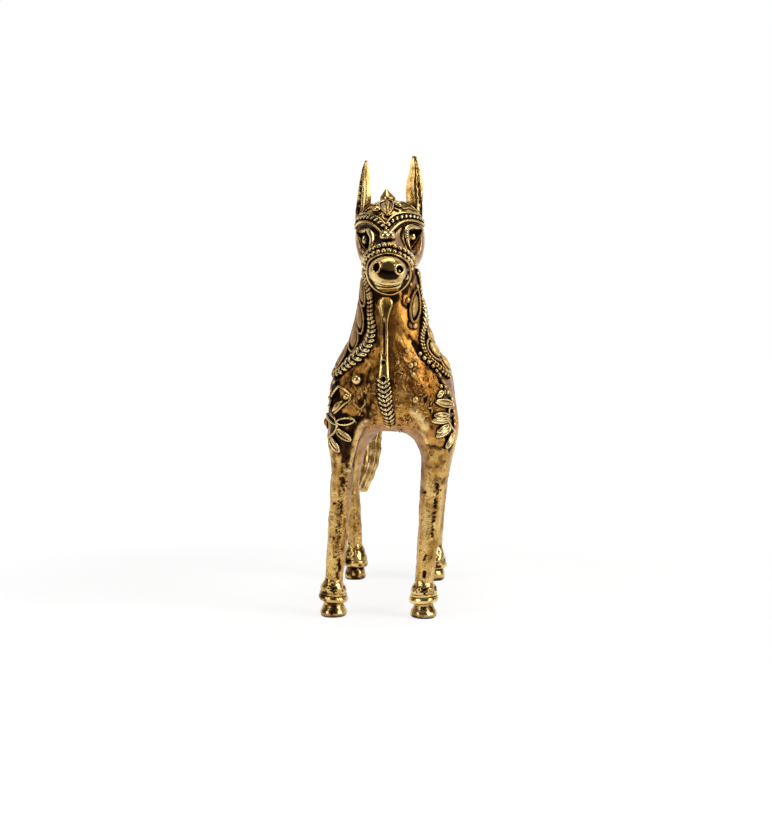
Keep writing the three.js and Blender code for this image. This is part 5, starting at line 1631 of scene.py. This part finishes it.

# Cuts and ridges of the castings: picture points, reach and depth in mm (a ridge where negative), and the
# darkness painted along them: patina in the cuts; the entries marked below are painted shade, painted shadow and
# a painted reflection.
headCuts = [
    ([(405, 282), (408.4, 276), (409.6, 268)], 0.9, 0, 0.9),
    ([(368.6, 268), (367.6, 275), (369.6, 281)], 0.8, 0, 0.9),
    ([(370.6, 262.4), (376, 257.6), (387, 255), (398, 257.4), (405, 263)], 0.8, 0, 0.9),
    ([(369.6, 280), (373, 283.6), (378, 286.6), (385.6, 287.8), (393.8, 287.4), (399.6, 285)], 0.6, 0.4, 1),
    ([(371, 284.6), (375.4, 289), (380.2, 290.9), (385.1, 291.6), (391, 292)], 0.7, 0.35, 1),
    # painted reflection: a dark patch low on the muzzle's polished front, and a fainter one above it, where it
    # mirrors the dim room
    ([(382.4, 274.2), (388, 275.4), (395, 275.6)], 2.4, 0, 1), ([(385.6, 263), (386, 270)], 1.7, 0, 0.55),
    ([(371, 273), (373, 278), (375.6, 281.4)], 0.8, 0, 0.5),
    ([(357, 229), (362.6, 226.4), (369, 226.8), (374.4, 230.2), (378.2, 235), (380, 241)], 1.2, 0.5, 1),
    ([(376.6, 237), (378.6, 243), (379.6, 246)], 1.5, 0.4, 1),
    (
        [(392.6, 234.6), (396.6, 229.6), (401.6, 225.8), (408.4, 224), (415, 224.8), (421.6, 228)], 0.75,
        0.35, 1,
    ), ([(404, 227.6), (402, 232.6), (401.8, 237.8), (404.4, 244.6), (407, 250)], 0.75, 0.4, 1),
    ([(363, 234), (365, 240), (368, 247)], 2, 0.5, 1),
    ([(409, 237), (409.8, 241), (411.2, 245)], 1.2, 0.45, 1), ([(416.6, 230.6), (413.6, 234)], 1.3, 0.3, 1),
    ([(375.8, 203.3), (380, 199.6), (386, 198.2), (394, 199.1), (400.4, 203.3)], 1.2, 0.3, 1),
    ([(374, 214.4), (378, 213.4)], 0.7, 0.25, 0.9), ([(394.4, 209.4), (398, 210.8)], 0.9, 0.3, 1),
    ([(385.4, 216.6), (388.4, 217.2)], 0.8, 0.35, 1),
    ([(376.4, 281), (384, 284), (393, 284.2), (401, 281)], 1.1, -0.3, 0),
]
# Tints of old lacquer on the head: picture points, reach in mm, depth of the tint.
headBlooms = [
    ([(417.6, 236), (420, 248), (418.6, 259), (413.6, 268)], 3.4, 0.9),
    ([(357.6, 245), (359, 255), (362.6, 264)], 2.4, 0.9), ([(393, 229), (397.4, 236), (399, 243)], 2.6, 0.9),
    ([(402, 203), (408, 205), (414, 209)], 3, 0.7), ([(362, 209), (368, 206)], 2.4, 0.5),
    ([(384, 204), (386, 210)], 1.8, 0.6),
]
bodyCuts = [
    # The first three entries are painted shadow on the neck behind the muzzle and its wire, on both sides.
    ([(402, 288), (408, 283), (412, 276)], 2.2, 0, 1), ([(402, 278.4), (405.4, 281), (405.6, 291)], 2, 0, 1),
    ([(366, 276), (369, 283), (375, 290)], 2, 0, 1), ([(409, 335), (412, 339), (416, 344)], 0.75, 0.35, 0.9),
    ([(414.6, 343), (419.4, 350.6), (423.6, 356)], 1.7, 0.9, 1),
    # painted shadow under the chin
    ([(376, 296.6), (381, 298.6), (387, 298.8), (394, 296.6)], 3.4, 0, 1),
    (
        [(405.6, 288), (403.8, 292.5), (402.2, 299), (402.6, 304), (405.3, 306.8), (409.4, 306.6)], 0.62, 0.4,
        1,
    ), ([(409, 321.6), (408.2, 324.6), (409.7, 327.9), (413.3, 329), (417, 327.4)], 0.62, 0.4, 1),
    ([(415.6, 307), (413.2, 313.6), (411.2, 320)], 0.6, 0.4, 0.9),
    ([(398.6, 318), (401.4, 326), (404.6, 333)], 2.2, 0, 0.42), ([(405.6, 331), (409, 337)], 1.6, 0.2, 0.6),
    ([(366, 379), (356, 374.6), (350.6, 372.6)], 1.5, 0.3, 0.6),
    ([(336.8, 394), (337.4, 400), (335, 408)], 2.2, 0.7, 1), ([(337.4, 403), (342, 398)], 1.2, 0.3, 0.8),
    ([(341.6, 421.2), (350, 420)], 0.9, 0.3, 1), ([(340.6, 431), (346.4, 435.6)], 0.8, 0.3, 0.9),
    ([(346, 425.6), (352, 430)], 1.6, 0.3, 0.6), ([(340, 412.6), (338.4, 417.4), (346, 416)], 1.6, 0.4, 0.9),
    ([(334.4, 438.6), (337.6, 444)], 1, 0.4, 1), ([(328.4, 436), (329.6, 446)], 1.2, 0.4, 0.9),
    ([(446.4, 436), (447.6, 440.6), (445.6, 446.4)], 1, 0.5, 1),
    ([(453.4, 440), (452.4, 446), (449.6, 450)], 1.1, 0.5, 1), ([(425.6, 397.6), (424.6, 401)], 0.9, 0.4, 1),
    (
        [
            (369.6, 414.4), (364, 420), (358.6, 427.6), (355.6, 436), (352.6, 446), (349.8, 456.6),
            (346.8, 470),
        ], 2.1, -1.5, 0,
    ), ([(362, 415), (354.6, 423), (350, 434), (347, 447), (344.6, 460)], 1.9, 0.4, 0.8),
    # painted shade over the right shoulder, and around the petals on the left shoulder, this line and the next
    ([(334, 384), (332.6, 400), (334, 416), (337, 432), (341, 446)], 5.5, 0, 0.8),
    ([(440, 398), (442, 412), (443, 428), (449, 444)], 4, 0, 0.5),
    ([(426, 396), (428, 412), (432, 426)], 2.6, 0, 0.35),
    ([(372.6, 423), (364, 430.6), (359, 440), (356, 452), (353.4, 466)], 1, 0.35, 0.35),
    ([(413.6, 411), (417, 415), (420.6, 419), (425, 427)], 2.5, -0.45, 0),
    # painted shade over the right half of the chest, this line and the next
    ([(352, 388), (360, 394), (364, 408), (356, 418)], 6, 0, 0.66),
    ([(374, 372), (372, 392), (376, 410)], 3.6, 0, 0.55),
    ([(420.4, 432), (424.6, 436.6), (427, 443.6)], 1, -0.35, 0),
    ([(427.4, 446), (427.2, 456), (426.6, 466)], 1.3, 0.25, 0.35),
    ([(343, 446), (347.4, 443)], 0.5, 0.2, 0.5), ([(342.4, 450.6), (347.4, 447.6)], 0.5, 0.2, 0.5),
    ([(342.4, 455), (347, 452)], 0.5, 0.2, 0.5), ([(342.2, 459.6), (346.4, 457)], 0.5, 0.2, 0.5),
    ([(428.4, 445.4), (431, 447.6), (434.6, 445.8), (438, 448.4), (443, 447.6)], 0.8, 0.3, 0.7),
    ([(375.6, 300), (376.4, 320), (377, 345)], 1.6, 0, 0.55),
    ([(372, 352), (364, 363), (354, 372)], 1.4, 0, 0.6),
]


def carve(points, field, cuts):  # moves points along the skin's slope by the cuts; patina in the cuts and painted shade where an entry paints it, and rub on ridges
    out = unit(slopeOf(field, points))
    broken = 0.55 + 1.5 * grain(points * np.array([1, 1, 0.45]), 0.9, 14)
    broken = np.clip(broken, 0, 1.5)  # blotches in soft patina
    move, dark, rubbed = np.zeros(len(points)), np.zeros(len(points)), np.zeros(len(points))
    for pixels, reach, depth, patinaAndShade in cuts:
        path = curve(seen(field, pixels), 24)
        close = nearness(points, settle(field, path), reach)
        move = np.where(np.abs(depth * close) > np.abs(move), depth * close, move)
        dark = np.maximum(dark, patinaAndShade * within(close, 0.05, 0.6) * (broken if patinaAndShade < 0.7 else 1))
        if depth < 0:
            ragged = np.minimum(broken + 0.2, 1) if reach > 2.5 else 1
            rubbed = np.maximum(rubbed, 0.95 * within(close, 0.2, 0.75) * ragged)
    return points - move[:, None] * out, dark, rubbed, out


def trimShade(points, lines, reach):  # patina along the threads' feet
    dark = np.zeros(len(points))
    for line in lines:
        dark = np.maximum(dark, nearness(points, line, reach))
    return dark


legSpots = pitSpots(legField, legPits)
for name in shanks:
    makeShank(name)
    makeFoot(name)
print("legs cast")


# Body: barrel, neck and thighs as one skin.
def makeBody():
    step = 0.47
    points, faces = netOver(bodyField, (-24, -14, 37.6), (24, 90, 121), step)
    flat = points[:, 2] < thighs["front_left"]["rows"][0][0] + 0.5 * step
    points = np.where(flat[:, None], points, settle(bodyField, points, rounds=2))
    carved, dark, rubbed, out = carve(points, legField, bodyCuts + legCuts)
    below = joint["top"] - joint["blend"]
    depth, pitted = sunk(points, *legSpots)
    dark = np.maximum(np.maximum(dark, pitted), 0.95 * trimShade(points, trims["body"], 1.25))
    rough = castRough(points)
    drawn = joint["draw"] * (1 - within(points[:, 2], below - joint["blend"], below))
    move = (rough - depth - drawn)[:, None] * out * np.where(flat[:, None], (1, 1, 0), 1)
    points, start = np.where(flat[:, None], points, carved) + move, points
    dark = np.maximum(dark, 0.6 * within(-rough, 0.03, 0.2))
    # painted shade on the sides that face straight across, at the front of the body
    dark = np.maximum(dark, 0.4 * within(np.abs(out[:, 0]), 0.8, 1.0) * within(-points[:, 1], -14, -4))
    nodes = ["torso", "neck"] + [name.replace("_", "_thigh_") for name in thighs]
    makePiece("bodyCasting", (points, [faces]), "aged_brass", nodes, dark,
              np.maximum(rubbed, 0.35 * within(rough, 0.1, 0.3)), innerSideShade(start, out))


def makeHead():  # the head's net, carved, darkened along its trims and in its nostrils
    step = 0.23
    low, high = fromHead([[-12, 40, -22]])[0] - 3, fromHead([[12, -3, 13]])[0] + 3
    points, faces = netOver(headField, np.minimum(low, high), np.maximum(low, high), step)
    points = settle(headField, points, rounds=2)
    carved, dark, rubbed, out = carve(points, headSolid, headCuts)
    dark = np.maximum(dark, 0.95 * trimShade(points, trims["head"], 1.0))
    bloom = np.zeros(len(points))
    for pixels, reach, depth in headBlooms:
        path = settle(headSolid, curve(seen(headSolid, pixels), 24))
        bloom = np.maximum(bloom, depth * within(nearness(points, path, reach), 0.05, 0.6))
    for place, axes, radii in nostrilHollows:
        hollow = ballField((points - place) @ axes.T, ((0, 0, 0), radii))
        dark = np.maximum(dark, 1 - within(hollow, 0.0, 0.12))
    rough = 0.05 * grain(points, 1.6, 3) + 0.02 * grain(points, 0.7, 4)
    # painted shade on the sides of the head that face straight across
    dark = np.maximum(dark, 0.35 * within(np.abs(out[:, 0]), 0.75, 1.0))
    points = carved + rough[:, None] * out
    makePiece("headCasting", (points, [faces]), "polished_brass", ["head"], dark, rubbed, bloom)


# Saddle cloth: a cast plate that follows the barrel, with a lattice of grooves, dots between, a roped edge.
saddle = {
    "from": 24.5,
    "to": 51.5,
    "wrap": 74,
    "level": 0.95,
    "cell": 3.4,
    "arc": 15.5,
    "ropeRadius": 0.78,
    "ropePitch": 2.7,
    "ellipse": (72.8, 17, 14),
}


def onBarrel(y, degrees, level=0.0):  # the barrel's skin at y, at this angle from its top
    angle, (middle, wide, high) = np.radians(degrees), saddle["ellipse"]
    start = np.stack([wide * np.sin(angle), y + 0 * angle, middle + high * np.cos(angle)], axis=-1)
    return settle(bodyField, start, level, rounds=5)


def makeSaddle():  # level less grooves where |sin| of a slant is low, plus dots where both are high, and a hem
    rows, columns = 110, 150
    y, degrees = np.meshgrid(np.linspace(saddle["from"], saddle["to"], rows),
                             np.linspace(-saddle["wrap"], saddle["wrap"], columns), indexing="ij")
    arc = np.radians(degrees) * saddle["arc"]
    middle = (saddle["from"] + saddle["to"]) / 2
    u, v = (arc + y - middle) / saddle["cell"], (arc - y + middle) / saddle["cell"]
    first, second = np.abs(np.sin(np.pi * u)), np.abs(np.sin(np.pi * v))
    groove = 1 - within(np.minimum(first, second), 0.02, 0.3)
    dot = within(first * second, 0.72, 0.9)
    edge = np.minimum(np.minimum(y - saddle["from"], saddle["to"] - y),
                      np.radians(saddle["wrap"] - np.abs(degrees)) * saddle["arc"])
    hem = 1 - within(edge, 1.5, 2.0)
    groove, dot = groove * (1 - hem), dot * (1 - hem)
    furrow = np.exp(-((edge - 2.0) / 0.3) ** 2)
    rough = 0.05 * grain(np.stack([arc, y, 0 * y], axis=-1), 1.6, 61)
    height = saddle["level"] - 0.30 * groove + 0.28 * dot + 0.15 * hem - 0.3 * furrow + rough
    top = onBarrel(y.ravel(), degrees.ravel(), height.ravel()).reshape(rows, columns, 3)
    bottom = onBarrel(y.ravel(), degrees.ravel(), -0.3).reshape(rows, columns, 3)
    makePiece("saddleCloth", closedSkin(np.concatenate([top, bottom[:, ::-1]], axis=1)), "aged_brass",
              ["saddle_cloth"], poled(np.maximum(0.9 * groove, 0.9 * furrow), 0 * y), poled(0.5 * dot, 0 * y))
    out, wrap = 1.0, saddle["wrap"] + 4
    low, high = saddle["from"] - out, saddle["to"] + out
    line = np.concatenate([onBarrel(np.full(40, low), np.linspace(-wrap, wrap, 40)),
                           onBarrel(np.linspace(low, high, 14)[1:-1], np.full(12, wrap)),
                           onBarrel(np.full(40, high), np.linspace(wrap, -wrap, 40)),
                           onBarrel(np.linspace(high, low, 14)[1:-1], np.full(12, -wrap))])
    path = settle(bodyField, curve(line, 520, loop=True), 0.5)
    noted(bodyField, path)
    rope = twisted(path, unit(slopeOf(bodyField, path, 0.2)), saddle["ropeRadius"], saddle["ropePitch"], 8)
    dress("saddle_rope", rope, "relief_brass", bodyField, (0.3, 0.9))


# Crest: a plait of locks down the back of the neck.
crest = {"from": 90.0, "to": 116.0, "half": 1.75, "spacing": 2.3}


def makeCrest():  # a plait of locks on a core
    height = np.linspace(crest["to"], crest["from"], 12)
    back = 14 + 6 * (1 - within(height, 88, 104)) - 6 * within(height, 109, 116)
    line = np.stack([0 * height, back, height], axis=-1)
    path, out = laid(line, bodyField, 0.25, 0.1)
    half = crest["half"] * (1 - 0.25 * within(path[:, 2], 96, 116))
    locks = joined(plait(path, out, half, crest["spacing"], 0.45, 0.9, 1.0), sweep(path, out, 0.42, 1.3))
    dress("mane_crest", locks, "relief_brass", bodyField, (0.5, 1.4))


# Tail: a thick lock with strands down its length. Places of its middle, then picture points of its edge.
tail = {
    "root": [(0, 83.5, 78.6), (-0.4, 87.4, 77.4), (-2, 89.8, 73)],
    "edge": [(380.8, 434), (379.4, 453.6), (377, 465), (373.4, 476), (368.6, 486)],
    "y": 90,
    "halfWidths": [(0, 1.9), (5, 2.5), (12, 3.2), (22, 3.8), (36, 4.1), (46, 4), (50, 3.7)],
    "depth": 0.42,
    "strands": 6,
    "inset": 3.8,
    "swing": 2,
}


def makeTail():  # rings 1 + 0.05 cos(2 strands * angle) wide, flattened, along the middle of the lock
    edge = throughPlane(tail["edge"], (0, tail["y"], 0), np.array([0, 1.0, 0]))
    edge[:, 0] -= tail["inset"]
    edge[:, 1] -= np.linspace(0, tail["swing"], len(edge))
    path = curve(np.concatenate([np.array(tail["root"]), edge]), 220)
    length = lengthAlong(path)
    half = through(tail["halfWidths"], length)[:, 0]
    half = half * (1 + 0.03 * np.sin(1.3 * length) * within(length, 10, 20))
    angle = turns(120)
    ridge = np.cos(tail["strands"] * 2 * angle)
    radius = 1 + 0.05 * ridge
    out = np.repeat([[0.0, 1.0, 0.35]], len(path), 0)
    section = (radius * np.cos(angle), radius * np.sin(angle))
    points, faces = sweep(path, out, half, tail["depth"] * half, section=section)
    rows = (len(points) - 2) // len(angle)
    dark = np.concatenate([np.tile(0.3 * within(-ridge, 0.3, 1.0), rows), [0, 0]])
    rough = 0.2 * grain(points * np.array([1, 1, 0.22]), 1.5, 71)
    rough = rough + 0.05 * grain(points * np.array([1, 1, 0.5]), 0.8, 72)
    middle = np.concatenate([np.repeat(path[:1], 3, 0), path, np.repeat(path[-1:], 3, 0)])
    away = unit(points - np.concatenate([np.repeat(middle, len(angle), 0), path[:1], path[-1:]]))
    dark = np.maximum(dark, 0.42 * within(-rough, 0.08, 0.22))
    makePiece("tailCasting", (points + rough[:, None] * away, faces), "relief_brass", ["tail"], dark,
              0.25 + 0.75 * within(rough, -0.04, 0.15))


makeSaddle()
makeCrest()
makeTail()
print("saddle, crest and tail set")
makeBody()
print("body cast")
makeHead()
print("head cast")

# Stage: pale floor, white background, two soft lamps and a darker room in front.
stage = {
    "floorSize": 6.0,
    "backdrop": (0.0, 0.85),  # the white backdrop sets in between these parts of the way back
    "roomLevel": 0.07,
    "floorFront": -0.26,  # in front of the picture's lower edge; the photographer's side of the room is dark
    "floorShare": (0.72, 1.0),  # how much of the floor's white is its own: less near the horse, for its shadow
    "floorReach": (0.10, 0.40),
    "floorGlow": 1.17,
    "lampTarget": (0, 0, 0.085),
    "lamps": [  # name, place and size in metres, radiance
        ("keyLamp", (0.85, -0.42, 0.52), (0.55, 0.65), 5.0),
        ("fillLamp", (-0.62, -0.62, 0.40), (0.30, 0.60), 3.0),
        ("topLamp", (0.05, -0.10, 0.95), (0.6, 0.5), 3.2),
    ],
}


def makeFloor():  # diffuse for the light, white where it is looked at; more of it away from the horse
    half, near = stage["floorSize"] / 2, stage["floorFront"]
    data = bpy.data.meshes.new("floor")
    data.from_pydata([(-half, near, 0), (half, near, 0), (half, half, 0), (-half, half, 0)], [], [(0, 1, 2, 3)])
    floor = bpy.data.objects.new("floor", data)
    bpy.context.scene.collection.objects.link(floor)
    material = bpy.data.materials.new("paleFloor")
    material.use_nodes = True
    node, maths, _, spread = nodeKit(material.node_tree)
    path = node("ShaderNodeLightPath").outputs
    looked = maths("MAXIMUM", path["Is Camera Ray"], path["Is Glossy Ray"])
    looked = maths("MAXIMUM", looked, path["Is Transmission Ray"])
    place = node("ShaderNodeTexCoord").outputs["Object"]
    away = node("ShaderNodeVectorMath", {0: place}, operation="LENGTH").outputs["Value"]
    own = spread(away, *stage["floorReach"], *stage["floorShare"], kind="SMOOTHSTEP")
    share = maths("MULTIPLY", looked, own)
    paper = node("ShaderNodeBsdfDiffuse", {"Color": (0.9, 0.9, 0.9, 1)}).outputs[0]
    glow = node("ShaderNodeEmission", {"Color": (1, 1, 1, 1), "Strength": stage["floorGlow"]}).outputs[0]
    mix = node("ShaderNodeMixShader", {0: share, 1: paper, 2: glow}).outputs[0]
    node("ShaderNodeOutputMaterial", {"Surface": mix})
    data.materials.append(material)


def makeLamp(name, place, size, power):  # an area lamp that faces the middle of the horse
    data = bpy.data.lights.new(name, "AREA")
    data.shape = "RECTANGLE"
    data.size, data.size_y = size
    data.energy = power
    lamp = bpy.data.objects.new(name, data)
    back = unit(np.array(place) - np.array(stage["lampTarget"]))
    side = unit(np.cross([0, 0, 1.0], back))
    up = np.cross(back, side)
    lamp.matrix_world = Matrix([[side[i], up[i], back[i], place[i]] for i in range(3)] + [[0, 0, 0, 1]])
    bpy.context.scene.collection.objects.link(lamp)


def makeRoom():  # a dim room that is white to the camera, and to reflections towards the back
    world = bpy.data.worlds.new("room")
    bpy.context.scene.world = world
    world.use_nodes = True
    node, maths, _, spread = nodeKit(world.node_tree)
    path = node("ShaderNodeLightPath").outputs
    way = node("ShaderNodeSeparateXYZ", {0: node("ShaderNodeTexCoord").outputs["Generated"]}).outputs["Y"]
    depth = spread(way, *stage["backdrop"], kind="SMOOTHSTEP")  # 0 towards the photographer, 1 behind the horse
    mirrored = maths("MAXIMUM", path["Is Glossy Ray"], path["Is Transmission Ray"])
    seenWhite = maths("MAXIMUM", path["Is Camera Ray"], maths("MULTIPLY", mirrored, depth))
    dim = {"Color": (1, 0.97, 0.92, 1), "Strength": stage["roomLevel"]}
    room = node("ShaderNodeBackground", dim).outputs[0]
    white = node("ShaderNodeBackground", {"Color": (1, 1, 1, 1), "Strength": 1.0}).outputs[0]
    mix = node("ShaderNodeMixShader", {0: seenWhite, 1: room, 2: white}).outputs[0]
    node("ShaderNodeOutputWorld", {"Surface": mix})


makeFloor()
for name, place, size, level in stage["lamps"]:
    makeLamp(name, place, size, level * math.pi * size[0] * size[1])
makeRoom()
bpy.context.scene.view_settings.view_transform = "Standard"
print("stage set")
